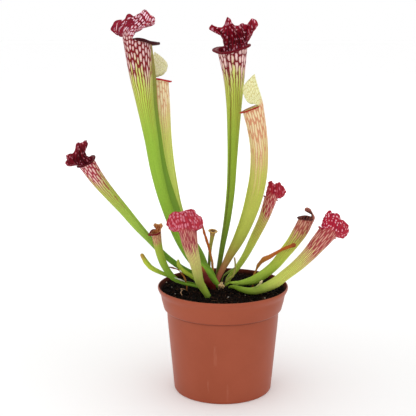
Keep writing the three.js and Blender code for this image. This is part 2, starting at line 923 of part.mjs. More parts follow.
// ---- slim solid pieces ----------------------------------------------------------------------------
function stalkGeometry(stalk) {
  const surface = new Surface();
  const sides = 8;
  const rings = [];
  for (let i = 0; i <= stalk.rows; i++) {
    const t = i / stalk.rows;
    const frame = frameAt(stalk.path, t, stalk.wide);
    const half = onCurve(stalk.path, t)[3];
    const ring = [];
    for (let k = 0; k < sides; k++) {
      const turn = (2 * Math.PI * k) / sides;
      const point = frame.middle
        .clone()
        .addScaledVector(frame.front, half * Math.cos(turn))
        .addScaledVector(frame.side, Math.max(0.4, half * stalk.thin) * Math.sin(turn));
      ring.push(surface.add(point));
    }
    rings.push([...ring, ring[0]]);
  }
  for (let i = 0; i < stalk.rows; i++) surface.strip(rings[i], rings[i + 1]);
  surface.fan(surface.add(frameAt(stalk.path, 0, stalk.wide).middle), [...rings[0]].reverse());
  const tip = frameAt(stalk.path, 1, stalk.wide);
  const end = onCurve(stalk.path, 1)[3];
  surface.fan(surface.add(tip.middle.addScaledVector(tip.along, 0.5 * end)), rings[stalk.rows]);
  return surface.geometry();
}

// ---- pot ------------------------------------------------------------------------------------------
function potGeometry() {
  const inside = POT_OUTSIDE.slice(1).map(([radius, height]) => [radius - POT_WALL, height]);
  inside[0] = [inside[0][0] - 0.6, POT_FLOOR + 2];
  const [rimRadius] = POT_OUTSIDE[POT_OUTSIDE.length - 1];
  const outline = [
    [0, 0],
    ...POT_OUTSIDE,
    [rimRadius - 0.5, POT_HEIGHT],
    [rimRadius - RIM_LIP_INSET, POT_HEIGHT],
    ...inside.slice(0, -1).reverse(),
    [inside[0][0] - 2, POT_FLOOR],
    [0, POT_FLOOR],
  ];
  const profile = outline.map(([radius, height]) => new THREE.Vector2(radius, height));
  const pot = new THREE.LatheGeometry(profile, POT_SEGMENTS);
  pot.rotateX(Math.PI / 2);
  pot.deleteAttribute("normal");
  pot.deleteAttribute("uv");
  return mergeVertices(pot, 1e-3);
}

// ---- soil -----------------------------------------------------------------------------------------
function randomNumbers(seed) {
  let state = seed;
  return () => {
    state = (state * 1664525 + 1013904223) % 4294967296;
    return state / 4294967296;
  };
}

function soilHeight(x, y) {
  const away = Math.hypot(x - MOUND_CENTRE[0], y - MOUND_CENTRE[1]);
  return SOIL_EDGE_HEIGHT + MOUND_HEIGHT * Math.exp(-0.5 * (away / MOUND_SPREAD) ** 2);
}

// Inside radius of the pot at a height, between the rows of its outer wall.
function insideRadius(height) {
  const above = Math.max(1, POT_OUTSIDE.findIndex((row) => row[1] >= height));
  const [lowRadius, low] = POT_OUTSIDE[above - 1];
  const [highRadius, high] = POT_OUTSIDE[above];
  return THREE.MathUtils.mapLinear(height, low, high, lowRadius, highRadius) - POT_WALL;
}

function soilGeometry() {
  const surface = new Surface();
  const random = randomNumbers(23);
  const ringAt = (radius, height) => {
    const ring = [];
    for (let k = 0; k < SOIL_SECTORS; k++) {
      const turn = (2 * Math.PI * k) / SOIL_SECTORS;
      const x = radius * Math.cos(turn);
      const y = radius * Math.sin(turn);
      ring.push(surface.add(new THREE.Vector3(x, y, height(x, y))));
    }
    return [...ring, ring[0]];
  };
  const outer = insideRadius(SOIL_EDGE_HEIGHT) - SOIL_GAP;
  const crumbly = (x, y) => soilHeight(x, y) + SOIL_CRUMB * (2 * random() - 1);
  const rings = [];
  for (let i = 1; i < SOIL_RINGS; i++) rings.push(ringAt((outer * i) / SOIL_RINGS, crumbly));
  rings.push(ringAt(outer, () => SOIL_EDGE_HEIGHT));
  surface.fan(surface.add(new THREE.Vector3(0, 0, crumbly(0, 0))), rings[0]);
  for (let i = 0; i + 1 < rings.length; i++) surface.strip(rings[i + 1], rings[i]);
  const ledge = POT_OUTSIDE.slice(3, 6).map((row) => row[1]);
  const levels = [...ledge.reverse(), POT_FLOOR + 2.4];
  let above = rings[rings.length - 1];
  for (const level of levels) {
    const ring = ringAt(insideRadius(level) - SOIL_GAP - (level < 10 ? 0.6 : 0), () => level);
    surface.strip(ring, above);
    above = ring;
  }
  const bottom = POT_FLOOR + 0.4;
  const foot = ringAt(insideRadius(bottom) - SOIL_GAP - 2.6, () => bottom);
  surface.strip(foot, above);
  surface.fan(surface.add(new THREE.Vector3(0, 0, bottom)), [...foot].reverse());
  return surface.geometry();
}

// A plain upright hole round the part of a path that lies in the soil.
function holeGeometry(path, compass) {
  const xs = [];
  const ys = [];
  let widest = 0;
  for (let t = 0; t <= 0.4; t += 0.01) {
    const { middle } = frameAt(path, t, compass);
    const row = onCurve(path, t);
    if (middle.z - row[3] > soilHeight(middle.x, middle.y) + SOIL_CRUMB) break;
    xs.push(middle.x);
    ys.push(middle.y);
    widest = Math.max(widest, row[3] + (row[4] ?? 0));
  }
  const x = (Math.min(...xs) + Math.max(...xs)) / 2;
  const y = (Math.min(...ys) + Math.max(...ys)) / 2;
  const drift = Math.hypot(Math.max(...xs) - x, Math.max(...ys) - y);
  const radius = widest + drift + HOLE_CLEARANCE;
  const top = POT_HEIGHT + 8;
  const hole = new THREE.CylinderGeometry(radius, radius, top - HOLE_FLOOR, HOLE_SIDES);
  hole.rotateX(Math.PI / 2);
  hole.translate(x, y, (top + HOLE_FLOOR) / 2);
  return hole;
}

function toSolid(geometry) {
  const bare = new THREE.BufferGeometry();
  bare.setAttribute("position", geometry.getAttribute("position"));
  bare.setIndex(geometry.index);
  const merged = mergeVertices(bare, 1e-3);
  return new wasm.Manifold(
    new wasm.Mesh({
      numProp: 3,
      vertProperties: new Float32Array(merged.attributes.position.array),
      triVerts: new Uint32Array(merged.index.array),
    }),
  );
}

function fromSolid(solid) {
  const { vertProperties, triVerts, numProp } = solid.getMesh();
  const points = [];
  for (let i = 0; i < vertProperties.length; i += numProp) {
    points.push(vertProperties[i], vertProperties[i + 1], vertProperties[i + 2]);
  }
  const made = new THREE.BufferGeometry();
  made.setAttribute("position", new THREE.Float32BufferAttribute(points, 3));
  made.setIndex([...triVerts]);
  return made;
}

// ---- assembly -------------------------------------------------------------------------------------
const group = new THREE.Group();

function addPiece(name, geometry, color, roughness) {
  const material = new THREE.MeshStandardMaterial({ color, roughness, metalness: 0 });
  material.side = THREE.FrontSide;
  const mesh = new THREE.Mesh(geometry, material);
  mesh.name = name;
  group.add(mesh);
}

addPiece("pot", potGeometry(), 0x9a5038, 0.45);

let soil = toSolid(soilGeometry());
for (const { path, face } of Object.values(PITCHERS)) {
  soil = soil.subtract(toSolid(holeGeometry(path, face)));
}
for (const { path, wide } of Object.values(STALKS)) {
  soil = soil.subtract(toSolid(holeGeometry(path, wide)));
}
addPiece("soil", fromSolid(soil), 0x2a211c, 0.95);

for (const [name, leaf] of Object.entries(PITCHERS)) addPiece(name, pitcherGeometry(leaf), leaf.colour, 0.5);
for (const [name, stalk] of Object.entries(STALKS)) addPiece(name, stalkGeometry(stalk), stalk.colour, 0.6);

export default group;
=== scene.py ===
"""A potted pitcher plant: fine leaves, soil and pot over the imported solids, all in metres in their frame."""
from types import SimpleNamespace

import bpy
import numpy as np
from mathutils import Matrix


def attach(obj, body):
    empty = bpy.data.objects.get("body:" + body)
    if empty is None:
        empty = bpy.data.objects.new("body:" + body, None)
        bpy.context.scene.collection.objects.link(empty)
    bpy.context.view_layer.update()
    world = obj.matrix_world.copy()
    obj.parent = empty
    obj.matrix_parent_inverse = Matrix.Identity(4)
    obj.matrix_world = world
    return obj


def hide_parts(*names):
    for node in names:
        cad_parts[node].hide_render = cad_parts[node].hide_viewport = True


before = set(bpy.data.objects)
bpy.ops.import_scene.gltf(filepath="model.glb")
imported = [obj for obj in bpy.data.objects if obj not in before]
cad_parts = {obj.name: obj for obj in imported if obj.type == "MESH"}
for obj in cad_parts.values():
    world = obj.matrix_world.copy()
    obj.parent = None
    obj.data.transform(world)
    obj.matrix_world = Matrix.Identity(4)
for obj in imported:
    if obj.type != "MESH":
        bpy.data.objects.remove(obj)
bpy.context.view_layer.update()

MM = 0.001
FULL_TURN = 2 * np.pi

# ---- shapes, in millimetres, the same paths and margins as the solids -----------------------------
# face: compass angle of the mouth. neck: half angle of the back wall under the hood. rise: height of the mouth's
# edge. spout, ears, bead: how far the lip stands out in front and at the sides, and its thickness. curl: how much
# the hood arches back. ruffle, frill, teeth: waves and notches of its margin. fuller: a wider middle of the tube.
# path: rows of x, y, z, tube radius and wing width, root to mouth. hood: margin rows, sideways, forwards and up.
PITCHERS = {
    "pitcher_tall_left": dict(
        face=15, neck=64, rise=7, spout=5, ears=1, bead=1.5, curl=0.45, ruffle=0.9, seed=11, frill=0.4,
        teeth=0.35,
        path=[[-4.3, 2.2, 86, 1.7, 0.2], [-4.5, 2, 95.4, 1.8, 0.3], [-8.9, 1, 102.6, 2.4, 1.2],
        [-15, -0.5, 110.8, 3.2, 2.4], [-27, 1, 120, 4.1, 4.5], [-40.5, 4, 142, 4.5, 6.2],
        [-53, 6, 174, 4.8, 6.6], [-60.5, 8, 203, 5.5, 4.8], [-65, 9, 232, 6.3, 3.6], [-70, 10, 261, 7.6, 3.8],
        [-74, 11, 290, 10.2, 3.6], [-77, 12, 318, 12, 1.5]],
        hood=[[-11, -4.3, 6], [-14, -0.7, 9.5], [-17.5, 1.4, 10.3], [-19, 6.7, 12.5], [-20, 8.5, 14.4],
        [-19, 14.5, 13.2], [-18.5, 13.6, 18.8], [-17, 11.8, 22], [-13, 7.4, 26.7], [-10, 5.4, 24.4],
        [-5, -1.9, 22.3], [-1, -4, 25.2], [4, -9.6, 20.5], [11, -13.3, 21.1], [16, -20.3, 14.6],
        [15.5, -16.6, 10.8], [14, -15.7, 8.5], [12.5, -11.2, 6.5], [11.3, -8, 4]]),
    "pitcher_tall_tan": dict(
        face=0, neck=62, rise=4, spout=1.5, ears=0.6, bead=0.8, curl=0.1, ruffle=0, seed=12, frill=0.2,
        teeth=0.1,
        path=[[-12, 9, 86, 2.3, 0.2], [-12, 9.2, 98, 2.6, 0.3], [-21, 14.5, 120.6, 3.6, 0.8],
        [-34, 19, 141.4, 4, 1], [-43.6, 23.5, 164, 5.2, 1.2], [-49.8, 28, 187.5, 6.6, 1.2],
        [-54.2, 30, 212, 7.6, 1], [-57.3, 32, 236, 8.7, 0.8], [-59.2, 34, 260.7, 9.7, 0.6],
        [-60.5, 36, 283, 10.2, 0.3]],
        hood=[[-8.8, -2, 3], [-10.5, 7, 6.5], [-9, 9.5, 16], [0, -1, 26], [9, 9.5, 16], [10.5, 7, 6.5],
        [8.8, -2, 3]]),
    "pitcher_tall_right": dict(
        face=-118, neck=61, rise=8.5, spout=1.2, ears=3.4, bead=1.1, curl=0.3, ruffle=1.1, seed=13, frill=0.45,
        teeth=0.4, fuller=1.08,
        path=[[-5, 14.5, 86, 1.9, 0.2], [-5, 15, 99, 2, 0.3], [-0.6, 18.5, 127.6, 2.3, 1.2],
        [4.1, 21, 154, 3.1, 2], [7.3, 23.5, 181, 3.7, 2.2], [8.7, 26, 207.4, 4.2, 2.2],
        [9.6, 28, 234, 5.2, 1.8], [10.3, 30, 260, 6.7, 1.5], [10.2, 32, 286, 9.5, 1],
        [8.7, 34, 311.5, 14, 0.4]],
        hood=[[-11.8, -5.5, 8.5], [-12.4, -4, 12.2], [-14.6, -2, 17], [-19.2, -0.5, 20.1], [-22.6, 0, 20],
        [-21.6, -1.5, 24.2], [-15.6, -3, 21.2], [-10.6, -3.5, 21.7], [-3.2, 0, 28.9], [-1.8, -3.5, 24.5],
        [1.8, -8, 21.2], [6.6, -9, 23.3], [12, -9, 21.4], [16.7, -9, 26.3], [23, -8, 23.1], [23, -7, 18.7],
        [19.7, -6, 14.4], [16.6, -6, 10.8], [15.4, -6, 6.9]]),
    "pitcher_olive": dict(
        face=180, neck=58, rise=3, spout=1.6, ears=0.4, bead=0.7, curl=0.1, ruffle=0, seed=14, frill=0.15,
        teeth=0.1,
        path=[[-4, 6.5, 86, 1.9, 0.2], [-4.6, 7, 100, 2, 0.3], [5.5, 8.2, 121, 3.2, 0.7],
        [15.3, 9.5, 139, 5, 0.9], [23.4, 10.8, 158.6, 6.3, 1], [29.3, 12, 178.5, 7.3, 1],
        [32.8, 12, 199, 7.5, 0.9], [33.3, 12, 220, 7.7, 0.8], [31, 12, 240, 8.4, 0.6], [27, 12, 259, 9.6, 0.3]],
        hood=[[-8.5, -1, 4.5], [-10, 4.5, 8.5], [-9, 5, 20], [0, -7.4, 29.8], [9, 5, 20], [10, 4.5, 8.5],
        [8.5, -1, 4.5]]),
    "pitcher_left_leaning": dict(
        face=-50, neck=62, rise=4, spout=1, ears=1, bead=0.8, curl=0.3, ruffle=0.8, seed=15, frill=0.4,
        teeth=0.35,
        path=[[-18, 7, 86, 2.1, 0.2], [-18.3, 7.2, 97.5, 2.3, 0.2], [-24, 8.5, 103.6, 2.6, 0.4],
        [-39.6, 7, 113, 2.7, 0.5], [-54, 4.5, 125.2, 2.8, 0.6], [-66.5, 2, 139.7, 3.2, 0.8],
        [-78.5, 0, 154, 4, 0.9], [-90, -1, 168.6, 4.6, 0.9], [-101.7, -2, 182.7, 5.5, 0.9],
        [-112.7, -3, 197, 6.6, 0.8], [-122.6, -4, 212.6, 7.7, 0.4]],
        hood=[[-8.4, -4, 2.2], [-14.4, -3.6, 6], [-16.6, -2.6, 10], [-12.2, -4, 11.5], [-10.9, -3, 15.2],
        [-2.8, -3, 13.4], [3, -1.6, 18.6], [8, -2, 16.5], [12.8, -1.2, 15.6], [10.4, -1, 11.2], [6.8, -3, 9.4],
        [5.6, -3.8, 5], [6.4, -3.8, 2.6]]),
    "pitcher_front": dict(
        face=80, neck=64, rise=3, spout=0.8, ears=0.4, bead=0.7, curl=-0.3, ruffle=0.8, seed=16, frill=0.4,
        teeth=0.35,
        path=[[-13.6, -21, 86, 2.7, 0.1], [-13.6, -21, 92.6, 2.8, 0.1], [-18.3, -21, 101, 3.4, 0.4],
        [-21.7, -24, 109, 3.9, 0.7], [-24.9, -30, 126.3, 5, 1.2], [-29, -35, 142.6, 6.7, 1],
        [-31.2, -40, 158, 7.9, 0.4]],
        hood=[[-8.4, -3, 1], [-13.7, 0, 2.7], [-14, 2, 10.2], [-10, 4, 14.4], [-6.6, 4, 18.8], [-0.6, 3, 19.6],
        [3.8, 2, 17.9], [10.3, 4, 17.9], [15, 3, 14], [17.9, 1, 8.5], [16.5, 0, 2.3], [12.2, -2, 1.3],
        [8.3, -3, 2]]),
    "pitcher_right_back": dict(
        face=95, neck=62, rise=2.5, spout=0.6, ears=0.2, bead=0.6, curl=-0.2, ruffle=0.6, seed=17, frill=0.4,
        teeth=0.35,
        path=[[5, 17, 86, 2.1, 0.2], [5.2, 17.5, 97.5, 2.3, 0.2], [13.6, 20, 108.5, 2.6, 0.5],
        [21.5, 23, 120, 3.1, 0.8], [29.3, 26, 135, 4.1, 1.2], [38.6, 27, 154.7, 4.9, 1],
        [45, 28, 173.5, 6, 0.4]],
        hood=[[-5.8, -2.5, 2.4], [-9.8, 0, 4], [-12, 1, 7.2], [-11.8, 2, 11.2], [-9.5, 3, 13.6], [-3, 3, 17],
        [1.5, 2, 14.2], [3.9, 3, 16.2], [6.7, 2, 14.6], [6.7, 1, 10.8], [6.5, 0, 5.2], [6.4, -2, 3],
        [5.8, -2.6, 1.4]]),
    "pitcher_right_hooked": dict(
        face=180, neck=50, rise=5, spout=0.8, ears=0.3, bead=0.6, curl=0, ruffle=0, seed=18, frill=0.1,
        teeth=0.1,
        path=[[3.2, 6, 86, 0.9, 0.1], [3.3, 5.6, 95.6, 0.9, 0.1], [6.7, 4.5, 98.4, 1, 0.1],
        [11.3, 4, 98.4, 1.8, 0.2], [16.9, 3.5, 98.6, 2.5, 0.3], [29, 2.5, 101.8, 4.1, 0.4],
        [39.8, 2.2, 108.7, 4.3, 0.5], [49.2, 2, 117.4, 4.5, 0.6], [56.8, 1.5, 127.6, 5.1, 0.6],
        [64.4, 1, 138, 5.7, 0.5], [70.9, 0.5, 148.7, 6.6, 0.4], [76, 0, 160, 6.6, 0.3]],
        hood=[[-5.2, -4.1, 3.2], [-4.6, -2.8, 6.2], [-3.8, -1, 8.4], [-3.2, 1.4, 9.4], [-2.4, 4, 9.4],
        [-1.2, 5.4, 8.2], [0, 5.2, 6.6], [1.2, 5.4, 8.2], [2.4, 4, 9.4], [3.2, 1.4, 9.4], [3.8, -1, 8.4],
        [4.6, -2.8, 6.2], [5.2, -4.1, 3.2]]),
    "pitcher_right_front": dict(
        face=110, neck=62, rise=3, spout=0.8, ears=0.3, bead=0.7, curl=-0.3, ruffle=0.8, seed=19, frill=0.4,
        teeth=0.35,
        path=[[5.6, -0.6, 86, 1, 0.1], [5.9, -0.8, 95.4, 1, 0.1], [10.3, -4.3, 97, 1.8, 0.1],
        [14.7, -9, 96.8, 2.4, 0.2], [23.2, -15, 96.4, 3.1, 0.3], [31.7, -17.5, 98, 3.9, 0.4],
        [45.3, -18, 104.1, 4.9, 0.6], [55.7, -19, 112.6, 4.9, 0.8], [66.3, -20, 121.7, 5.4, 0.8],
        [75.7, -21, 131.5, 6.1, 0.7], [84.4, -22, 142.4, 7.3, 0.5], [91.8, -22, 151.6, 8.2, 0.3]],
        hood=[[-8.2, -3.5, 3], [-14.2, -1, 4.4], [-17.4, 0, 9], [-14, 2, 16.1], [-7.8, 3, 18], [-2.5, 2, 17.8],
        [2.5, 3, 19.7], [7.2, 3, 17.6], [11.3, 3, 17.2], [13.1, 2, 11.9], [11.9, 0, 7.4], [11.2, -2, 2.5],
        [8.4, -3.8, 1.5]]),
    "pitcher_small_withered": dict(
        face=-150, neck=66, rise=1.5, spout=2, ears=1, bead=0.8, curl=0.2, ruffle=0, seed=20, frill=0.3,
        teeth=0.3,
        path=[[-17.4, -4, 86, 1.1, 0.1], [-18.1, -4, 94.6, 1.1, 0.1], [-26.1, -4, 97.9, 1.2, 0.1],
        [-35.8, -4, 100.3, 1.5, 0.1], [-45, -4, 105.4, 2.6, 0.3], [-52, -5, 115, 3, 0.4],
        [-56.4, -7, 126.3, 3.4, 0.4], [-59, -8, 138, 3.8, 0.3], [-60.3, -10, 150, 4.5, 0.2]],
        hood=[[-4.4, -1.4, 3.2], [-5, -0.6, 5.4], [-2.8, -1.4, 7.6], [0, -3.4, 6.9], [2.2, -5.4, 8],
        [4.8, -5.2, 6], [4.6, -3, 3.4]]),
    "pitcher_slender_funnel": dict(
        face=-90, neck=0, rise=0.5, spout=0.5, ears=0.5, bead=0.5, curl=0, ruffle=0, seed=21, frill=0, teeth=0,
        path=[[-13, 18, 86, 0.95, 0.1], [-13, 18, 97.5, 1, 0.1], [-12.7, 16, 107, 1.2, 0.1],
        [-12.4, 14, 118, 1.4, 0.1], [-11.5, 12, 130, 1.5, 0.1], [-10, 11, 140, 2, 0.1],
        [-9.2, 10, 146.4, 3, 0.1]],
        hood=[]),
}
STALKS = {
    "leaf_low_left": dict(
        thin=0.9, wide=90, slot="green_leaf", path=[[-18, 2.9, 86, 0.9], [-18.6, 3, 94.6, 0.9],
        [-26.2, 4.2, 97.5, 1], [-36.4, 5.2, 99.4, 1.2], [-45.3, 5, 102.8, 1.6], [-53.3, 5, 106.2, 1.9],
        [-60, 5, 109.3, 2.2], [-66, 4.5, 112.8, 2.5], [-71, 4, 118.7, 2.5], [-74.7, 4, 125.3, 1.9]]),
    "leaf_bud_left": dict(
        thin=0.9, wide=90, slot="green_leaf", path=[[-19.5, 0.5, 86, 1.6], [-19.8, 0.5, 97, 1.8],
        [-25.3, 1, 103.4, 2.2], [-32.8, 1, 108.4, 2.1], [-38, 1, 112.6, 2], [-40.6, 0.5, 117, 2],
        [-41.2, 0, 121, 1.3]]),
    "flower_stalk_dry": dict(
        thin=0.9, wide=0, rough=0.3, path=[[-9, 6.2, 86, 0.9], [-9, 6.2, 97, 1], [-9, 5.8, 106, 1],
        [-9.7, 4.4, 117, 1.1], [-11.5, 2, 127, 1.1], [-13.6, -1, 136, 1.15], [-16.8, -3, 147, 1.1],
        [-18.8, -4.5, 155, 0.8]]),
    "leaf_dry_right": dict(
        thin=0.4, wide=-24, rough=0.2, path=[[28, 11, 86, 0.8], [28.2, 10.6, 96, 0.8], [28.8, 8.5, 103.3, 0.8],
        [31.1, 5.5, 111, 0.9], [33.6, 2.5, 117, 1.6], [37.2, -1, 121.6, 2.2], [42.2, -3.5, 125.2, 2],
        [47.9, -6, 129.5, 1.5], [53.4, -8, 133.2, 1.4], [59, -10, 136.1, 1.4], [64.2, -12, 138.5, 2]]),
    "tendril_curled": dict(
        thin=0.8, wide=0, slot="green_leaf", path=[[2, 7.2, 86, 0.9], [2.3, 7.2, 96.5, 0.9],
        [5.5, 7.2, 101.6, 1.1], [9, 7, 104, 1.1], [11, 6.8, 108.5, 0.9], [11.6, 6.5, 115, 0.8],
        [10.8, 6, 122, 0.7]]),
    "leaf_small_centre": dict(
        thin=0.5, wide=90, slot="green_leaf", path=[[-0.8, 12.2, 86, 1], [-0.8, 12, 97, 1.1],
        [0.8, 11, 103, 1.3], [4.4, 10.5, 106.5, 1.6], [8.3, 10.5, 109.2, 1.6], [12.2, 10.5, 111.9, 0.9]]),
    "sheath_old_red": dict(
        thin=0.34, wide=20, rough=0.3, path=[[-9, -3.5, 86, 2.2], [-9.4, -3.6, 96, 2.6],
        [-14, -9.2, 103.5, 2.9], [-16.4, -8.6, 110, 2], [-19.4, -8, 117, 1]]),
    "crown_stub": dict(
        thin=0.85, wide=0, rough=0.9, path=[[-1.6, -1.2, 86, 2.2], [-1.5, -1.2, 93, 2.5], [-1.4, -1, 97.6, 2.5],
        [-0.8, -0.6, 99.6, 1.7]]),
    "leaf_dry_curl": dict(
        thin=0.55, wide=90, rough=0.3, path=[[-33.2, 1, 86, 1], [-33.4, 1, 96.5, 1.1], [-35, 1.6, 103, 1.2],
        [-37.6, 2.6, 107.4, 1.2], [-41, 3.4, 111, 1.1], [-45, 3.2, 112.8, 1.1], [-49, 2.4, 114, 0.9]]),
}

# ---- numbers and curves ---------------------------------------------------------------------------
PATH_STEP = 0.002
WALL = 0.9
HOOD_WALL = 0.75
WING_HALF = 0.4
WING_EDGE = 0.28
rng = np.random.default_rng


def on_curve(rows, t):
    """Values on the smooth curve through the rows (Catmull-Rom cubics, end slopes mirrored), t in 0..1."""
    rows, t = np.asarray(rows, float), np.asarray(t, float)
    last = len(rows) - 1
    place = np.clip(t, 0, 1) * last
    i = np.minimum(place.astype(int), last - 1)
    f = (place - i)[:, None]
    padded = np.vstack([2 * rows[0] - rows[1], rows, 2 * rows[-1] - rows[-2]])
    a, b, c, d = (padded[i + k] for k in range(4))
    return b + 0.5 * f * (c - a) + f * f * (a - 2.5 * b + 2 * c - 0.5 * d) + f**3 * (1.5 * (b - c) + 0.5 * (d - a))


def unit(v):
    """Vectors made one long."""
    return v / np.maximum(np.linalg.norm(v, axis=-1, keepdims=True), 1e-12)


def smoothstep(x, low, high):
    """0 below low, 1 above high, and a soft S between them."""
    s = np.clip((x - low) / (high - low), 0, 1)
    return s * s * (3 - 2 * s)


def frames(path, t, compass):
    """Middle, along, front and side directions of the path at each t. Front is the compass angle made square to
    the path."""
    after = on_curve(path, np.minimum(t + PATH_STEP, 1))[:, :3]
    along = unit(after - on_curve(path, np.maximum(t - PATH_STEP, 0))[:, :3])
    angle = np.radians(compass)
    flat = np.array([np.cos(angle), np.sin(angle), 0.0])
    front = unit(flat - along * (along @ flat)[:, None])
    return on_curve(path, t)[:, :3], along, front, np.cross(along, front)


def placed(middle, *parts):
    """A grid of points: each row's middle plus amounts along that row's directions. A part is a pair of both."""
    points = middle[:, None]
    for amounts, ways in parts:
        points = points + amounts[..., None] * ways[:, None]
    return points


def ring_points(radius, turn, height):
    """Points round the upright axis."""
    return np.stack(np.broadcast_arrays(radius * np.cos(turn), radius * np.sin(turn), height), -1)


def noise3(points, seed, size, octaves=3):
    """Soft noise in -1..1: sums of sine waves in seeded directions, halved in size and strength for each octave."""
    random = rng(seed)
    total = np.zeros(points.shape[:-1])
    weight = 1.0
    for _ in range(octaves):
        waves = random.normal(size=(5, 3)) * (FULL_TURN / size) * 0.6
        phases = random.uniform(0, FULL_TURN, 5)
        total += weight * np.sin(points @ waves.T + phases).sum(-1) / 5
        weight *= 0.5
        size *= 0.5
    return total


# ---- meshes ---------------------------------------------------------------------------------------
class Sheet:
    """Collects vertex arrays with their values, and faces from grids of vertex numbers."""

    KEYS = ("around", "down", "span", "hood", "lip", "inside", "edge")

    def __init__(self):
        self.points, self.values, self.faces, self.count = [], [], [], 0

    def add(self, points, **values):
        """Adds points of any grid shape and returns their numbers in that shape."""
        shape = points.shape[:-1]
        flat = points.reshape(-1, 3)
        numbers = np.arange(self.count, self.count + len(flat)).reshape(shape)
        self.count += len(flat)
        self.points.append(flat)
        self.values.append(np.stack([np.broadcast_to(values.get(k, 0.0), shape).reshape(-1) for k in self.KEYS], 1))
        return numbers

    def grid(self, numbers, flip=False):
        """Quads between neighbouring rows and columns of a grid of vertex numbers, or of many grids at once."""
        a, b = numbers[..., :-1, :-1], numbers[..., :-1, 1:]
        c, d = numbers[..., 1:, 1:], numbers[..., 1:, :-1]
        self.faces.append(np.stack([a, d, c, b] if flip else [a, b, c, d], -1).reshape(-1, 4))

    def fan(self, ring, centre, before=False, flip=False, **values):
        """Closes a ring of vertex numbers with faces to one centre, which counts as the row before or after it."""
        middle = self.add(np.repeat(centre[None], len(ring), 0), **values)
        self.grid(np.stack([middle, ring] if before else [ring, middle]), flip)

    def piece(self, name):
        """A linked object of these points and faces, with each value as an attribute of its points."""
        points = np.concatenate(self.points) * MM
        faces = np.concatenate(self.faces)
        mesh = bpy.data.meshes.new(name)
        mesh.vertices.add(len(points))
        mesh.vertices.foreach_set("co", points.reshape(-1).astype(np.float32))
        mesh.loops.add(faces.size)
        mesh.loops.foreach_set("vertex_index", faces.reshape(-1).astype(np.int32))
        mesh.polygons.add(len(faces))
        mesh.polygons.foreach_set("loop_start", np.arange(0, faces.size, 4, dtype=np.int32))
        mesh.update(calc_edges=True)
        mesh.validate()
        mesh.shade_smooth()
        values = np.concatenate(self.values)
        for k, key in enumerate(self.KEYS):
            layer = mesh.attributes.new(key, "FLOAT", "POINT")
            layer.data.foreach_set("value", values[:, k].astype(np.float32))
        return linked(name, mesh)


def linked(name, data):
    """A new object in the scene's own collection."""
    made = bpy.data.objects.new(name, data)
    bpy.context.scene.collection.objects.link(made)
    return made


def finish_piece(made, slot, material, *nodes):
    """Gives a piece its material, says which body it rides on and hides the nodes that it replaces. Its slot is not
    used.
    """
    made.data.materials.append(material)
    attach(made, "root")
    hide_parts(*nodes)


# ---- trumpet leaves -------------------------------------------------------------------------------
SIDE_COLUMNS = 30
NECK_COLUMNS = 96
WING_COLUMNS = 6
FIRST_NECK = WING_COLUMNS + SIDE_COLUMNS
HOOD_LINES = 46
TUBE_ROW = 1.6
FEWEST_ROWS, MOST_ROWS = 40, 150
TUBE_SWELL = 0.02
HOLLOW_SHARE = 0.3
HOLLOW_ROWS = 14
LIP_STAND = 0.2
LIP_THINNEST = 0.4
LIP_WAVE = 0.08
# Angles of the lip in degrees: where its fading starts before the neck, how wide spout and ears are, where ears sit.
LIP_FADE = 22
LIP_SPREAD = 26
EAR_PLACE = 78
LIP_BENDS = np.radians([-150, -115, -80, -45, -15, 15, 45, 75, 105, 135])
# Waves along the hood's margin: how many and how strong. Frills are their sum, teeth the sum of their sizes.
FRILL_WAVES = ((11, 1.0), (17, 0.7), (6, 0.5))
TOOTH_WAVES = ((9.5, 1.0), (14.5, 0.6))


def rim_height(leaf, turn):
    """How high the mouth's edge stands at an angle: lowest at the front, a little raised at the sides."""
    return leaf["rise"] * (0.5 - (0.5 + 0.5 * np.cos(turn)) ** 1.6)


def lip_shape(leaf, turn):
    """How far the rolled lip stands out and how thick it is: spout in front, an ear at each side, gone at the neck."""
    off = np.abs(np.degrees(np.where(turn > np.pi, turn - FULL_TURN, turn)))
    start = 180 - leaf["neck"]
    fade = 1 - smoothstep(off, start - LIP_FADE, start) if leaf["neck"] else np.ones_like(off)
    spout = leaf["spout"] * np.exp(-((off / LIP_SPREAD) ** 2))
    ears = leaf["ears"] * np.exp(-(((off - EAR_PLACE) / LIP_SPREAD) ** 2))
    out = LIP_STAND + fade * (0.6 * leaf["bead"] + spout + ears)
    return out, LIP_THINNEST + fade * (leaf["bead"] - LIP_THINNEST)


def neck_turn(leaf, across):
    """The angle round the tube at a share of the way across the neck."""
    return np.radians(180 + leaf["neck"] * (1 - 2 * across))


def hood_surface(leaf, rim, radius, across, up):
    """Points of the hood's outer face: a cubic from each neck point, leaving along the tube, to the margin curve.
    The margin waves by the leaf's ruffle at its rows. Also returns how far each column reaches."""
    middle, along, front, side = rim
    turn = neck_turn(leaf, across)
    rows = on_curve(leaf["hood"], across)
    wave = leaf["ruffle"] * np.cos(np.pi * across * (len(leaf["hood"]) - 1))

    def local(s, f, a):
        """Sideways, forwards and along, as a place from the middle of the mouth."""
        return s[:, None] * side + f[:, None] * front + a[:, None] * along

    low = local(radius * np.sin(turn), radius * np.cos(turn), rim_height(leaf, turn))
    high = local(rows[:, 0], rows[:, 1] + wave, rows[:, 2])
    reach = np.linalg.norm(high - low, axis=1, keepdims=True)
    outward = unit(unit(high - low) - leaf["curl"] * front)
    first = low + 0.38 * reach * along
    second = high - 0.33 * reach * outward
    w = up[:, None, None]
    v = 1 - w
    points = v**3 * low + 3 * v * v * w * first + 3 * v * w * w * second + w**3 * high
    return middle + points, reach[:, 0]


def grid_normals(points):
    """Normals of a grid of points from its row and column differences, out of the side the rows turn from."""
    return unit(np.cross(np.gradient(points, axis=1), np.gradient(points, axis=0)))


def waves(kinds, share, phases):
    """Sine waves along a share of 0..1, one row for each kind."""
    return np.stack([size * np.sin(FULL_TURN * count * share + p) for (count, size), p in zip(kinds, phases)])


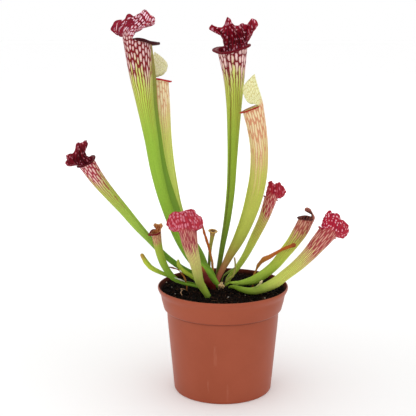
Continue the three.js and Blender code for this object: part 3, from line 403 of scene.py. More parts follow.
def tube_outline(leaf, radius, wing):
    """The rows of the tube with its wing, seen along the tube: amounts to the front and to the side, the angle of
    each point, and 1 on the wing. The columns run from the wing's edge round the tube and back to that edge."""
    start = 180 - leaf["neck"]
    raw = [np.linspace(0, start, SIDE_COLUMNS + 1), np.linspace(360 - start, 360, SIDE_COLUMNS + 1)[1:]]
    if leaf["neck"]:
        raw.insert(1, np.linspace(start, 360 - start, NECK_COLUMNS + 1)[1:])
    raw = np.concatenate(raw)
    root = np.degrees(np.arcsin(np.minimum(0.35, 2 * WING_HALF / radius)))[:, None]
    right = 360 - root - (360 - raw) * (start - root) / start
    angle = np.where(raw <= start, root + raw * (start - root) / start, np.where(raw >= 360 - start, right, raw))
    turn, root = np.radians(angle), np.radians(root)
    # Both faces of the wing run from the tube's front to a thin rounded edge.
    q = np.linspace(1, 0, WING_COLUMNS + 1)[:-1]
    root_front, root_side = radius[:, None] * np.cos(root), radius[:, None] * np.sin(root)
    reach = np.maximum(radius + wing, root_front[:, 0] + 0.1)[:, None]
    wing_front = root_front + q * (reach - root_front)
    wing_side = WING_EDGE * np.sqrt(np.clip(1 - q**6, 0.02, 1)) + (root_side - WING_EDGE) * (1 - q) ** 3
    front_by = np.concatenate([wing_front, radius[:, None] * np.cos(turn), wing_front[:, ::-1]], 1)
    side_by = np.concatenate([wing_side, radius[:, None] * np.sin(turn), -wing_side[:, ::-1]], 1)
    near_root = np.repeat(root * 0.45, WING_COLUMNS, 1)
    turn = np.concatenate([near_root, turn, FULL_TURN - near_root], 1)
    on_wing = np.pad(np.zeros(len(raw)), WING_COLUMNS, constant_values=1.0) * smoothstep(wing, 0.5, 2.5)[:, None]
    return front_by, side_by, turn, on_wing


def pitcher(leaf):
    """A trumpet leaf: tube with its wing, mouth, rolled lip and hood, as grids that share their edges. Between the
    foot and the mouth the tube is as much fuller as asked, and its width swells and shrinks a little on the way."""
    path = np.array(leaf["path"], float)
    rows = int(np.clip(np.linalg.norm(path[-1, :3] - path[0, :3]) / TUBE_ROW, FEWEST_ROWS, MOST_ROWS))
    t = np.linspace(0, 1, rows + 1)
    values = on_curve(path, t)
    swell = leaf.get("fuller", 1.0) - 1 + TUBE_SWELL * np.sin(9 * t + leaf["seed"])
    radius = values[:, 3] * (1 + swell * np.sin(np.pi * t**0.8) ** 0.7)
    middle, along, front, side = frames(path, t, leaf["face"])
    steps = np.linalg.norm(np.diff(middle, axis=0), axis=1)
    down = np.concatenate([np.cumsum(steps[::-1])[::-1], [0.0]])
    front_by, side_by, turn, on_wing = tube_outline(leaf, radius, values[:, 4])
    lift = (t**6)[:, None] * rim_height(leaf, turn)
    outer = placed(middle, (front_by, front), (side_by, side), (lift, along))
    rim_turn = turn[-1]
    around = rim_turn / FULL_TURN
    place = dict(around=around, span=(around - 0.5) * (FULL_TURN * radius[-1]))
    sheet = Sheet()
    tube = sheet.add(outer, down=down[:, None] - lift, edge=on_wing, **place)
    sheet.grid(tube)

    # The inner wall of the hollow, from the mouth down.
    t = np.linspace(1, 1 - HOLLOW_SHARE, max(HOLLOW_ROWS, rows // 4))
    in_middle, in_along, in_front, in_side = frames(path, t, leaf["face"])
    in_radius = on_curve(path, t)[:, 3, None] - WALL
    lift = (t**6)[:, None] * rim_height(leaf, rim_turn)
    lift[0] += 0.25 * lip_shape(leaf, rim_turn)[1]
    front_by, side_by = in_radius * np.cos(rim_turn), in_radius * np.sin(rim_turn)
    in_down = np.linalg.norm(in_middle - in_middle[0], axis=1)[:, None]
    inner = placed(in_middle, (front_by, in_front), (side_by, in_side), (lift, in_along))
    hollow = sheet.add(inner, down=in_down, inside=1.0, **place)
    sheet.grid(hollow)
    sheet.fan(hollow[-1], in_middle[-1], inside=1.0, down=in_down[-1, 0])
    sheet.fan(tube[0], middle[0], before=True, down=down[0])
    rim = (middle[-1], along[-1], front[-1], side[-1])
    add_lip(sheet, leaf, rim, outer[-1], rim_turn, tube[-1], hollow[0])
    if leaf["neck"]:
        add_hood(sheet, leaf, rim, radius[-1], tube[-1], hollow[0])
    return sheet


def add_lip(sheet, leaf, rim, wall_top, turn, tube_edge, hollow_edge):
    """The rolled lip along the open part of the mouth: a bead bent over from the outer wall to the inner one, its
    thickness waving a little, and closed at both ends where a hood follows."""
    count = len(turn)
    first, last = (FIRST_NECK + NECK_COLUMNS, count + FIRST_NECK) if leaf["neck"] else (0, count)
    mouth = np.arange(first, last + 1) % count
    turn = turn[mouth]
    _, along, front, side = rim
    outward = np.cos(turn)[:, None] * front + np.sin(turn)[:, None] * side
    out, bead = lip_shape(leaf, turn)
    bead = (bead * (1 + LIP_WAVE * np.sin(turn * 7 + leaf["seed"])))[:, None]
    bent_out, bent_up = out[:, None] + bead * np.cos(LIP_BENDS), bead * np.sin(LIP_BENDS)
    roll = placed(wall_top[mouth], (bent_out, outward), (bent_up, along[None]))
    lip = sheet.add(roll, around=(turn / FULL_TURN)[:, None], lip=1.0)
    lip = np.concatenate([tube_edge[mouth][:, None], lip, hollow_edge[mouth][:, None]], 1)
    sheet.grid(lip, flip=True)
    for end in (0, -1) if leaf["neck"] else ():
        sheet.fan(lip[end], roll[end].mean(0), flip=end == -1, lip=1.0)


def add_hood(sheet, leaf, rim, radius, tube_edge, hollow_edge):
    """The hood's outer face, its inner face and the rounded margin between them, on from the edges of the mouth."""
    across = np.linspace(1, 0, NECK_COLUMNS + 1)
    up = np.linspace(0, 1, HOOD_LINES + 1) ** 0.9
    points, reach = hood_surface(leaf, rim, radius, across, up)
    share = np.linspace(0, 1, NECK_COLUMNS + 1)
    phases = rng(leaf["seed"]).uniform(0, FULL_TURN, 6)
    ripple = waves(FRILL_WAVES, share, phases).sum(0)
    bite = np.abs(waves(TOOTH_WAVES, share, phases[3:])).sum(0)
    inward = np.sin(np.pi * share)
    frill = leaf["frill"] * ripple * (smoothstep(up, 0.45, 1)[:, None] * inward**0.4)
    points = points + frill[..., None] * grid_normals(points)
    tooth = leaf["teeth"] * bite * smoothstep(up, 0.6, 1)[:, None] * inward**0.3
    points = points - tooth[..., None] * unit(np.gradient(points, axis=0))
    fade = smoothstep(up, 0.0, 0.15)[:, None, None]
    inner = points - grid_normals(points) * (WALL * (1 - fade) + HOOD_WALL * (1 - 0.35 * up[:, None, None]) * fade)
    turn = neck_turn(leaf, across)
    widths = np.linalg.norm(np.diff(points, axis=1), axis=2)
    run = np.concatenate([np.zeros((len(up), 1)), np.cumsum(widths, axis=1)], 1)
    run = run - run[:, NECK_COLUMNS // 2, None]
    up = up[1:, None]
    values = dict(around=turn / FULL_TURN, down=-(up * reach) - rim_height(leaf, turn), span=run[1:],
                  hood=smoothstep(up, 0.0, 0.35), edge=up**3)
    borders = []
    for face, edge, inside in ((points, tube_edge, False), (inner, hollow_edge, True)):
        rows = sheet.add(face[1:], inside=float(inside), **values)
        rows = np.concatenate([edge[None, FIRST_NECK:FIRST_NECK + NECK_COLUMNS + 1], rows])
        sheet.grid(rows, flip=inside)
        borders.append(np.concatenate([rows[:, 0], rows[-1, 1:], rows[-2::-1, -1]]))
    sheet.grid(np.stack(borders))


# ---- node trees -----------------------------------------------------------------------------------
def srgb(colour):
    """A colour given in 0..255 display values, as linear red, green, blue, alpha."""
    c = np.array(colour) / 255
    return (*np.where(c <= 0.04045, c / 12.92, ((c + 0.055) / 1.055) ** 2.4).tolist(), 1.0)


class Value:
    """An output socket that takes part in sums: each sign and each call adds a node to its own tree."""

    def __init__(self, nodes, socket):
        self.nodes, self.socket = nodes, socket

    def math(self, operation, *others):
        """A math node on this value and others."""
        return self.nodes.math(operation, self, *others)

    def ramp(self, low, high, start=0.0, end=1.0):
        """Smooth step of the value between low and high, to start..end."""
        inputs = {"Value": self, "From Min": low, "From Max": high, "To Min": start, "To Max": end}
        return self.nodes.node("ShaderNodeMapRange", inputs, "Result", interpolation_type="SMOOTHSTEP")

    def fall(self, low, high):
        """Smooth step from 1 down to 0."""
        return self.ramp(low, high, 1.0, 0.0)

    def other(self, name):
        """Another output of the same node."""
        return Value(self.nodes, self.socket.node.outputs[name])


for sign, kind in dict(add="ADD", sub="SUBTRACT", mul="MULTIPLY", truediv="DIVIDE", pow="POWER").items():
    setattr(Value, f"__{sign}__", lambda a, b, kind=kind: a.nodes.math(kind, a, b))
    setattr(Value, f"__r{sign}__", lambda a, b, kind=kind: a.nodes.math(kind, b, a))


class Nodes:
    """Short calls for building a node tree. Each call returns the new node's output as a Value."""

    def __init__(self, tree):
        self.tree = tree

    def node(self, kind, inputs, out=0, **settings):
        """A node with its settings and its inputs, given by name or number. Out names the output to return."""
        made = self.tree.nodes.new(kind)
        for key, value in settings.items():
            setattr(made, key, value)
        for key, value in dict(inputs).items():
            if isinstance(value, Value):
                self.tree.links.new(value.socket, made.inputs[key])
            else:
                made.inputs[key].default_value = value
        return Value(self, made.outputs[out]) if len(made.outputs) else None

    def math(self, operation, *values):
        return self.node("ShaderNodeMath", enumerate(values), operation=operation)

    def mix(self, factor, a, b, blend="MIX"):
        """A mix of two colours, each a Value or display values."""
        a, b = (srgb(colour) if isinstance(colour, tuple) else colour for colour in (a, b))
        return self.node("ShaderNodeMix", {0: factor, 6: a, 7: b}, 2, data_type="RGBA", blend_type=blend)

    def layers(self, base, *coats):
        """A base colour under coats, each a factor and a colour."""
        for factor, colour in coats:
            base = self.mix(factor, base, colour)
        return base

    def shaded(self, colour, shade):
        """A colour made lighter or darker."""
        return self.mix(1.0, colour, self.vector(shade, shade, shade), "MULTIPLY")

    def vector(self, x, y, z):
        return self.node("ShaderNodeCombineXYZ", enumerate((x, y, z)))

    def noise(self, vector, scale, detail, roughness=0.55):
        inputs = {"Vector": vector, "Scale": scale, "Detail": detail, "Roughness": roughness}
        return self.node("ShaderNodeTexNoise", inputs, "Fac")

    def grain(self, x, y, z, detail, roughness=0.55):
        """Noise that is drawn out by what its coordinates are multiplied with."""
        return self.noise(self.vector(x, y, z), 1.0, detail, roughness)

    def cells(self, place, feature):
        """Distances in a flat net of irregular cells, one cell for each unit of the place."""
        inputs = {"Vector": place, "Scale": 1.0, "Randomness": 0.85}
        return self.node("ShaderNodeTexVoronoi", inputs, "Distance", feature=feature, voronoi_dimensions="2D")

    def random(self, x, y):
        """A random number in 0..1 for each whole-number place."""
        place = {"Vector": self.vector(x, y, 0.0)}
        return self.node("ShaderNodeTexWhiteNoise", place, "Value", noise_dimensions="2D")

    def attributes(self, *names):
        """Values that the sheets carry at their points."""
        return [self.node("ShaderNodeAttribute", {}, "Fac", attribute_name=name) for name in names]

    def here(self):
        """The place in metres."""
        return self.node("ShaderNodeTexCoord", {}, "Object")


class Look(Nodes):
    """A material in the making."""

    def __init__(self, name):
        self.material = bpy.data.materials.new(name)
        self.material.use_nodes = True
        self.material.node_tree.nodes.clear()
        super().__init__(self.material.node_tree)

    def finish(self, colour, roughness, specular, bump=None, subsurface=0.0, reach=(1.0, 0.5, 0.2)):
        """Adds the shader. Bump is a height with its strength and distance. Returns the material."""
        inputs = {"Base Color": colour, "Roughness": roughness, "Specular IOR Level": specular,
                  "Subsurface Weight": subsurface, "Subsurface Radius": reach, "Subsurface Scale": 0.003}
        if bump:
            bump = dict(zip(("Height", "Strength", "Distance"), bump))
            inputs["Normal"] = self.node("ShaderNodeBump", bump)
        self.node("ShaderNodeOutputMaterial", {0: self.node("ShaderNodeBsdfPrincipled", inputs)})
        return self.material


# ---- looks of the trumpet leaves ------------------------------------------------------------------
# A leaf's look is its colours, as display values, and its numbers, both in the order of these names. Cells,
# widths, depths and lengths are in millimetres, or in shares of a cell for the vein width and the hood's.
# fold is painted shade: a darker copy of the inside colour, for streaks on the hood's inner face and the hollow below
# the mouth.
LEAF_COLOURS = ("low", "middle", "high", "wing", "wing_top", "window", "vein", "faded_vein", "hood", "hood_window",
                "inside", "fold", "lip", "foot")
LEAF_NUMBERS = ("cell_width", "cell", "stretch", "vein_width", "window_depth", "vein_depth", "tube_length",
                "foot_amount", "foot_reach", "hood_cell", "hood_stretch", "hood_threshold", "hood_closed",
                "closed_side", "hood_amount", "spotted", "spot_size", "inside_amount", "rib_amount")
LEAF_LOOKS = {
    "pitcher_tall_left": (
        [(124, 168, 48), (152, 188, 64), (204, 222, 98), (104, 138, 46), (128, 112, 66), (240, 200, 198),
        (126, 28, 34), (156, 84, 38), (184, 34, 62), (250, 206, 220), (88, 10, 28), (70, 12, 24), (60, 10, 18),
        (150, 120, 70)],
        [2.9, 4.6, 24, 0.17, 44, 100, 230, 0, 30, 2.6, 1.9, 0.15, 0.3, -0.5, 0.95, 0, 0.3, 0.6, 0.7]),
    "pitcher_tall_tan": (
        [(120, 160, 45), (208, 222, 108), (232, 214, 136), (150, 150, 65), (170, 140, 80), (248, 232, 190),
        (222, 168, 126), (208, 166, 100), (222, 222, 160), (246, 242, 204), (216, 212, 148), (190, 190, 110),
        (186, 34, 40), (150, 120, 70)],
        [2.6, 7, 30, 0.12, 46, 80, 190, 0, 30, 2.6, 1.5, 0.04, -0.2, 0, 0.95, 0, 0.3, 0.95, 0]),
    "pitcher_tall_right": (
        [(104, 134, 42), (152, 180, 60), (206, 218, 98), (112, 122, 45), (122, 96, 44), (240, 202, 198),
        (122, 26, 38), (150, 92, 44), (160, 24, 50), (248, 176, 196), (138, 10, 34), (70, 5, 18), (104, 6, 24),
        (112, 88, 50)],
        [3.6, 5, 20, 0.12, 40, 84, 220, 0.8, 34, 2.7, 1.5, 0.24, 0.46, 0, 0.95, 0, 0.26, 0.8, 0]),
    "pitcher_olive": (
        [(150, 160, 55), (190, 200, 86), (224, 202, 126), (165, 160, 75), (190, 150, 96), (238, 218, 172),
        (214, 146, 110), (208, 168, 104), (196, 200, 116), (240, 238, 186), (222, 196, 128), (206, 200, 120),
        (170, 50, 40), (184, 74, 84)],
        [2.6, 8.5, 36, 0.12, 70, 120, 182, 1, 66, 2.6, 1.5, 0.04, -0.2, 0, 0.95, 0, 0.3, 0.95, 0.7]),
    "pitcher_left_leaning": (
        [(110, 155, 50), (160, 190, 75), (200, 208, 104), (140, 150, 66), (170, 160, 90), (244, 200, 194),
        (158, 44, 60), (172, 108, 76), (140, 22, 42), (228, 140, 158), (118, 14, 32), (66, 6, 16), (84, 12, 22),
        (150, 120, 70)],
        [2.4, 4, 18, 0.17, 30, 66, 140, 0, 30, 2.4, 1.5, 0.26, 0.5, 0, 0.95, 0, 0.26, 0.7, 0]),
    "pitcher_front": (
        [(152, 182, 60), (222, 224, 130), (236, 232, 166), (160, 170, 70), (200, 180, 110), (214, 152, 134),
        (156, 66, 70), (168, 104, 82), (184, 52, 66), (234, 156, 176), (140, 28, 50), (70, 12, 24),
        (140, 24, 44), (56, 84, 20)],
        [1.6, 12, 42, 0.21, 26, 70, 78, 0.9, 18, 2.5, 1.5, 0.2, 0.3, 0, 0.6, 0.6, 0.4, 0.75, 0.6]),
    "pitcher_right_back": (
        [(152, 180, 60), (204, 216, 96), (212, 208, 122), (150, 150, 60), (180, 150, 90), (234, 178, 162),
        (172, 62, 70), (180, 108, 78), (188, 44, 60), (236, 140, 160), (132, 14, 36), (70, 12, 24),
        (150, 24, 44), (150, 120, 70)],
        [1.8, 9, 30, 0.18, 26, 68, 110, 0, 30, 2.6, 1.5, 0.24, 0.5, 0, 0.7, 1, 0.34, 0.6, 0.7]),
    "pitcher_right_hooked": (
        [(156, 188, 66), (198, 216, 88), (198, 194, 104), (140, 155, 60), (170, 140, 90), (214, 160, 134),
        (168, 84, 74), (182, 128, 84), (170, 104, 92), (210, 150, 128), (160, 92, 80), (50, 16, 16),
        (82, 34, 32), (150, 120, 70)],
        [2.1, 7.5, 22, 0.17, 26, 56, 95, 0, 30, 2.1, 1.5, 0.28, 0.6, 0, 0.95, 0, 0.3, 0.1, 0]),
    "pitcher_right_front": (
        [(118, 150, 42), (208, 222, 104), (234, 228, 154), (150, 165, 55), (190, 150, 90), (220, 158, 140),
        (160, 64, 66), (172, 104, 74), (186, 34, 56), (250, 186, 200), (140, 16, 44), (70, 12, 24),
        (172, 30, 52), (150, 120, 70)],
        [1.9, 12, 42, 0.18, 36, 84, 120, 0, 30, 3.4, 1, 0.24, 0.3, 0, 0.85, 1, 0.24, 0.6, 0.8]),
    "pitcher_small_withered": (
        [(112, 152, 44), (158, 182, 62), (206, 184, 112), (130, 150, 54), (170, 130, 70), (204, 160, 124),
        (172, 112, 84), (170, 130, 70), (206, 146, 84), (226, 176, 112), (190, 116, 66), (130, 56, 34),
        (112, 16, 16), (150, 120, 70)],
        [1.9, 3, 10, 0.12, 16, 30, 70, 0, 30, 2, 1.5, 0.16, 0.2, 0, 0.95, 0, 0.3, 0.6, 0]),
    "pitcher_slender_funnel": (
        [(120, 140, 58), (168, 164, 74), (196, 176, 90), (140, 120, 56), (160, 120, 60), (196, 160, 96),
        (150, 100, 56), (140, 110, 56), (150, 30, 55), (245, 205, 210), (150, 108, 58), (110, 80, 44),
        (198, 158, 84), (150, 120, 70)],
        [1.6, 3, 10, 0.16, 4, 16, 50, 0, 30, 2.4, 1.5, 0.16, 0.2, 0, 0.95, 0, 0.3, 0.6, 0]),
}
# A small dark mark on a leaf, in metres: its place and its size. Far below the pot where a leaf has none.
MARKS = {"pitcher_tall_left": ((-0.0571, -0.0040, 0.2070), 0.0022)}
NO_MARK = ((0.0, 0.0, -1.0), 0.001)
MARK_COLOUR = (35, 40, 20)
LENGTHWISE_STRONGER = 1.07
CROSSWISE_WEAKER = 0.93
CELL_POWER = 2.6


def tube_net(n, v, span, down, wobble, small_wobble):
    """The net below the mouth. Columns of cells stand side by side, each column shifted by a random share of a cell.
    Returns how far a point is inside its cell (0 at the vein, 0.5 at the middle) and a random number of its column.
    With depth the cells draw out and the cross veins go, which leaves lengthwise lines."""
    u = small_wobble * 0.35 + (wobble * 0.9 + span / v.cell_width)
    below = down.math("MAXIMUM", 0.0)
    above = down.math("MINIMUM", 0.0) / (v.cell * 0.85)
    drawn = 1.0 - (below / v.stretch * -1.0).math("EXPONENT")
    w = v.stretch / v.cell * drawn + above
    column = u.math("FLOOR")
    chance = n.random(column, 3.7)
    w = small_wobble * 0.5 + w + (chance * 0.4 + (column * 0.5).math("FRACT") * 1.1)
    across = (u.math("FRACT") * 2.0 - 1.0).math("ABSOLUTE") * LENGTHWISE_STRONGER
    along = (w.math("FRACT") * 2.0 - 1.0).math("ABSOLUTE") * CROSSWISE_WEAKER
    reach = (across**CELL_POWER + along**CELL_POWER) ** 0.385
    reach = reach + (n.random(column, w.math("FLOOR")) * 0.24 - 0.14)
    lengthwise = below.ramp(v.window_depth * 0.45, v.window_depth)
    reach = reach + (across - reach) * lengthwise
    return (reach * -0.5 + 0.5).math("MAXIMUM", 0.0), chance


def leaf_group():
    """The trumpet leaf's colour: green to yellow tube, a net of veins with pale windows by the mouth that draws out
    into lines further down, a netted or spotted hood, a dark lip and the leaf's inside, with painted shade in streaks
    on its inner face and down its hollow."""
    group = bpy.data.node_groups.new("leaf_surface", "ShaderNodeTree")
    kinds = dict.fromkeys(LEAF_COLOURS, "Color") | dict.fromkeys(LEAF_NUMBERS, "Float")
    kinds |= {"mark": "Vector", "mark_size": "Float"}
    for name, kind in kinds.items():
        group.interface.new_socket(name=name, in_out="INPUT", socket_type="NodeSocket" + kind)
    for name, kind in dict(colour="Color", roughness="Float", height="Float").items():
        group.interface.new_socket(name=name, in_out="OUTPUT", socket_type="NodeSocket" + kind)
    n = Nodes(group)
    given = n.node("NodeGroupInput", {})
    v = SimpleNamespace(**{name: given.other(name) for name in kinds})
    here = n.here()
    around, down, span, hood, lip, inside, edge = n.attributes(*Sheet.KEYS)
    wing = edge * (1.0 - hood)
    wobble = n.noise(here, 110.0, 2.0) - 0.5
    small_wobble = n.noise(here, 380.0, 2.0) - 0.5
    slow = n.noise(here, 28.0, 3.0)
    fine = n.noise(here, 900.0, 2.0)
    tube_gap, column_chance = tube_net(n, v, span, down, wobble, small_wobble)
    # The hood's cells.
    place = n.vector(wobble * 0.8 + span / v.hood_cell, small_wobble * 0.6 + down / (v.hood_cell * v.hood_stretch), 0.0)
    hood_gap = n.cells(place, "DISTANCE_TO_EDGE")
    near = n.cells(place, "F1")
    cell_value = n.node("ShaderNodeSeparateColor", {0: near.other("Color")})
    # The tube.
    ragged = (column_chance - 0.5) * (v.window_depth * 0.4) + (wobble * 12.0 + ((slow - 0.5) * 16.0 + down))
    fade = ragged.ramp(v.window_depth * 0.3, v.vein_depth * 0.75)
    wide = v.vein_width * (slow * 0.6 + 0.7) * (fade * -0.5 + 1.0)
    vein = tube_gap.fall(wide * 0.5, wide * 1.25)
    halo = tube_gap.fall(wide, wide * 2.4)
    off_wing = wing * -0.9 + 1.0
    window_left = ragged.fall(v.window_depth * 0.2, v.window_depth * 1.1) * off_wing
    vein_left = ragged.fall(v.vein_depth * 0.45, v.vein_depth) * off_wing
    along = (slow * 30.0 + down) / v.tube_length
    streak = n.grain(around * 60.0, down * 0.02, 0.0, 3.0)
    tube = n.layers(
        v.high, (along.ramp(0.12, 0.5), v.middle), (along.ramp(0.5, 1.0), v.low),
        (wing * 0.85, n.mix(down.ramp(8.0, v.vein_depth), v.wing_top, v.wing)),
        (streak.ramp(0.4, 0.75, 0.0, 0.3), v.wing),
        ((v.tube_length - down).fall(0.0, v.foot_reach) * v.foot_amount, v.foot),
        (window_left, n.mix(window_left.ramp(0.35, 0.9), n.mix(0.5, v.window, v.high), v.window)),
        (halo * window_left * 0.45, v.vein),
        (vein * vein_left, n.mix(fade, v.vein, v.faded_vein)))
    # The net of the hood: windows that are shut here and there, more of them on one side, or round spots.
    shut = v.hood_closed + (span / 14.0).math("MAXIMUM", -1.0).math("MINIMUM", 1.0) * v.closed_side
    chance = cell_value.ramp(shut - 0.08, shut + 0.08)
    open_cell = hood_gap.ramp(v.hood_threshold, v.hood_threshold + 0.1)
    spot_size = v.spot_size * (cell_value * 0.6 + 0.6)
    spot = near.fall(spot_size * 0.6, spot_size * 1.25)
    outer_window = (spot - open_cell) * v.spotted + open_cell
    ribs = n.grain(span * 0.55, down * 0.05, 0.0, 2.0)
    outer = n.layers(
        v.hood, (slow.ramp(0.35, 0.7, 0.0, 0.5), v.inside), (ribs.ramp(0.45, 0.62) * v.rib_amount, v.inside),
        (hood_gap.ramp(0.0, 0.12, 0.4, 0.0), v.inside), (outer_window * chance * v.hood_amount, v.hood_window))
    # The inside: darker, with painted shade in streaks where folds would be,
    # and round spots that open out to windows by the margin.
    fold = n.grain(span * 0.42, down * 0.04, 2.0, 2.0)
    inner_window = (open_cell.math("MAXIMUM", spot) - spot) * edge + spot
    inner = n.layers(
        v.inside, (fold.ramp(0.42, 0.6), v.fold), (edge * 0.6, v.hood),
        # Down the hollow below the mouth: painted shade in the fold colour from 1.5 to 9 mm down, then a mix of the
        # wing and inside colours from 8 to 34 mm down.
        (inner_window * chance * v.inside_amount, v.hood_window), (down.ramp(1.5, 9.0, 0.0, 0.8), v.fold),
        (down.ramp(8.0, 34.0), n.mix(0.6, v.wing, v.inside)))
    to_mark = n.node("ShaderNodeVectorMath", {0: here, 1: v.mark}, "Value", operation="DISTANCE")
    colour = n.layers(tube, (hood, outer), (inside, inner), (lip, v.lip),
                      (to_mark.ramp(v.mark_size * 0.4, v.mark_size, 0.85, 0.0), MARK_COLOUR))
    pucker = hood * hood_gap.ramp(0.0, 0.35)
    ridge = vein * vein_left * (1.0 - hood)
    n.node("NodeGroupOutput", {
        "colour": n.shaded(colour, fine.ramp(0.2, 0.8, 0.92, 1.06)),
        "roughness": lip * -0.05 + fine.ramp(0.0, 1.0, 0.46, 0.62),
        "height": pucker * 0.9 + (ridge * 0.5 + streak * 0.7),
    })
    return group


LEAF_GROUP = leaf_group()


def leaf_material(name):
    """The leaf's own colours and numbers in the shared group."""
    colours, numbers = LEAF_LOOKS[name]
    given = zip(LEAF_COLOURS + LEAF_NUMBERS + ("mark", "mark_size"),
                [*map(srgb, colours), *numbers, *MARKS.get(name, NO_MARK)])
    n = Look("leaf_" + name)
    colour = n.node("ShaderNodeGroup", given, "colour", node_tree=LEAF_GROUP)
    bump = (colour.other("height"), 0.5, 0.0004)
    return n.finish(colour, colour.other("roughness"), 0.1, bump, 0.1, (0.9, 0.8, 0.25))


# ---- stalks and other slim pieces -----------------------------------------------------------------
STALK_SIDES = 28
STRAND_SIDES = 16
STALK_ROW = 0.8
STALK_ROWS = (24, 160)
SMOOTH_STALK = 0.08
# Colours from the root to the tip, as display values: low, high, tip and streak.
STALK_LOOKS = {
    "leaf_low_left": ((112, 154, 40), (184, 200, 66), (186, 128, 66), (134, 158, 48)),
    "leaf_bud_left": ((112, 154, 40), (184, 200, 66), (190, 196, 90), (134, 158, 48)),
    "flower_stalk_dry": ((190, 130, 62), (188, 96, 32), (150, 72, 40), (120, 52, 26)),
    "leaf_dry_right": ((190, 130, 62), (188, 96, 32), (150, 72, 40), (120, 52, 26)),
    "tendril_curled": ((120, 140, 56), (176, 170, 90), (170, 140, 88), (140, 130, 66)),
    "leaf_small_centre": ((110, 130, 60), (130, 155, 62), (150, 165, 80), (96, 110, 44)),
    "sheath_old_red": ((66, 14, 16), (104, 30, 24), (178, 100, 54), (60, 10, 16)),
    "crown_stub": ((130, 90, 60), (206, 172, 118), (222, 196, 146), (140, 92, 54)),
    "leaf_dry_curl": ((190, 130, 62), (190, 120, 60), (90, 52, 36), (120, 52, 26)),
}

def stalk_sheet(stalk, seed, sides, rough):
    """A slim solid piece: an oval section swept along its path, with low lengthwise ribs and soft lumps."""
    path = np.array(stalk["path"], float)
    length = np.linalg.norm(np.diff(path[:, :3], axis=0), axis=1).sum()
    t = np.linspace(0, 1, int(np.clip(length / STALK_ROW, *STALK_ROWS)) + 1)
    half = on_curve(path, t)[:, 3]
    middle, along, front, side = frames(path, t, stalk["wide"])
    turn = np.linspace(0, FULL_TURN, sides + 1)[None]
    rib = 1 + 0.05 * np.sin(turn * 5 + seed)
    front_by = half[:, None] * np.cos(turn) * rib
    side_by = np.maximum(0.4, half * stalk["thin"])[:, None] * np.sin(turn) * rib
    points = placed(middle, (front_by, front), (side_by, side))
    lumps = rough * half[:, None] * noise3(points, seed, 5.0)
    lumps[:, -1] = lumps[:, 0]
    points = points + lumps[..., None] * unit(points - middle[:, None])
    sheet = Sheet()
    body = sheet.add(points, around=turn / FULL_TURN, down=(1 - t)[:, None] * length)
    sheet.grid(body)
    sheet.fan(body[0], middle[0], before=True, down=length)
    end = half[-1] * along[-1]
    close = sheet.add(middle[-1] + 0.5 * end + (points[-1] - middle[-1]) * 0.55)
    sheet.grid(np.stack([body[-1], close]))
    sheet.fan(close, middle[-1] + 0.7 * end)
    return sheet


def stalk_material(name, low, high, tip, streak):
    """Colour from the root to the tip with darker lengthwise streaks."""
    n = Look("stalk_" + name)
    around, down = n.attributes("around", "down")
    cloud = n.noise(n.here(), 90.0, 4.0)
    lines = n.grain(around * 26.0, down * 0.05, 0.0, 4.0)
    base = n.layers(
        high, (down.ramp(15.0, 45.0), low), ((cloud * 6.0 + down).ramp(3.0, 12.0, 0.85, 0.0), tip),
        (lines.ramp(0.4, 0.75, 0.0, 0.6), streak), (cloud.ramp(0.55, 0.8, 0.0, 0.35), streak))
    return n.finish(base, cloud.ramp(0.2, 0.8, 0.42, 0.62), 0.12, (lines + cloud, 0.6, 0.0004), 0.05, (0.8, 0.6, 0.2))


# ---- pot ------------------------------------------------------------------------------------------
# Radius and height of the outline, from the middle of the base, up outside, over the rim and down inside.
POT_OUTLINE = [
    [0, 0.6], [38, 0.6], [40.5, 0], [44.3, 0], [45, 0.3], [45.3, 1], [51.1, 65], [51.5, 74.4], [51.7, 76],
    [53.7, 76.8], [54.5, 77.9], [55, 80], [56.3, 85], [57.4, 91], [59, 93.8], [59.8, 95.6], [60, 96.8], [59.8, 97.6],
    [59.2, 98], [58.4, 97.8], [57.4, 95.6], [56, 92.6], [55.4, 88], [54.1, 80.6], [50.3, 75], [49.7, 65], [44, 4],
    [42, 2], [0, 2],
]
POT_HEIGHT = 98
POT_SIDES = 256
POT_GIVE = 0.12
POT_EDGE = 2.5
CORNER_CUT = 0.3
# Scuffs low on the pot's front: place round the pot, half width, top and bottom, as depth below the rim.
SCUFFS = [(0.7627, 0.0045, 77.0, 97.0), (0.703, 0.004, 74.0, 89.0), (0.726, 0.007, 40.0, 62.0)]
SCUFF_AMOUNT = 0.2
# Painted shade under the collar's ledge, as depth below the rim: where it starts, is full, fades, and ends.
LEDGE_SHADE_PAINTED = (20.6, 21.4, 22.0, 23.4)


def pot_line():
    """The outline with each corner cut off twice, by Chaikin's rule, its two ends kept and its long edges split."""
    line = np.array(POT_OUTLINE, float)
    cut = 0.5 * CORNER_CUT
    for _ in range(2):
        cuts = np.stack([line[:-1] * (1 - cut) + line[1:] * cut, line[:-1] * cut + line[1:] * (1 - cut)], 1)
        line = np.vstack([line[:1], cuts.reshape(-1, 2), line[-1:]])
    rows = [line[:1]]
    for a, b in zip(line[:-1], line[1:]):
        parts = max(1, int(np.ceil(np.linalg.norm(b - a) / POT_EDGE)))
        rows.append(a + (b - a) * (np.arange(1, parts + 1) / parts)[:, None])
    return np.vstack(rows)


def pot_sheet():
    """The pot's outline turned round its axis, a little out of round as thin plastic is."""
    line = pot_line()
    turn = np.linspace(0, FULL_TURN, POT_SIDES + 1)[None]
    radius, height = line[:, :1], line[:, 1:]
    give = smoothstep(height, 60, POT_HEIGHT) * POT_GIVE
    radius = np.where(radius > 1, radius + (give * np.sin(2 * turn + 0.6) - give), radius)
    inner = np.arange(len(line))[:, None] > np.argmax(line[:, 1])
    sheet = Sheet()
    points = ring_points(radius, turn, height)
    sheet.grid(sheet.add(points, around=turn / FULL_TURN, down=POT_HEIGHT - height, inside=inner.astype(float)))
    return sheet


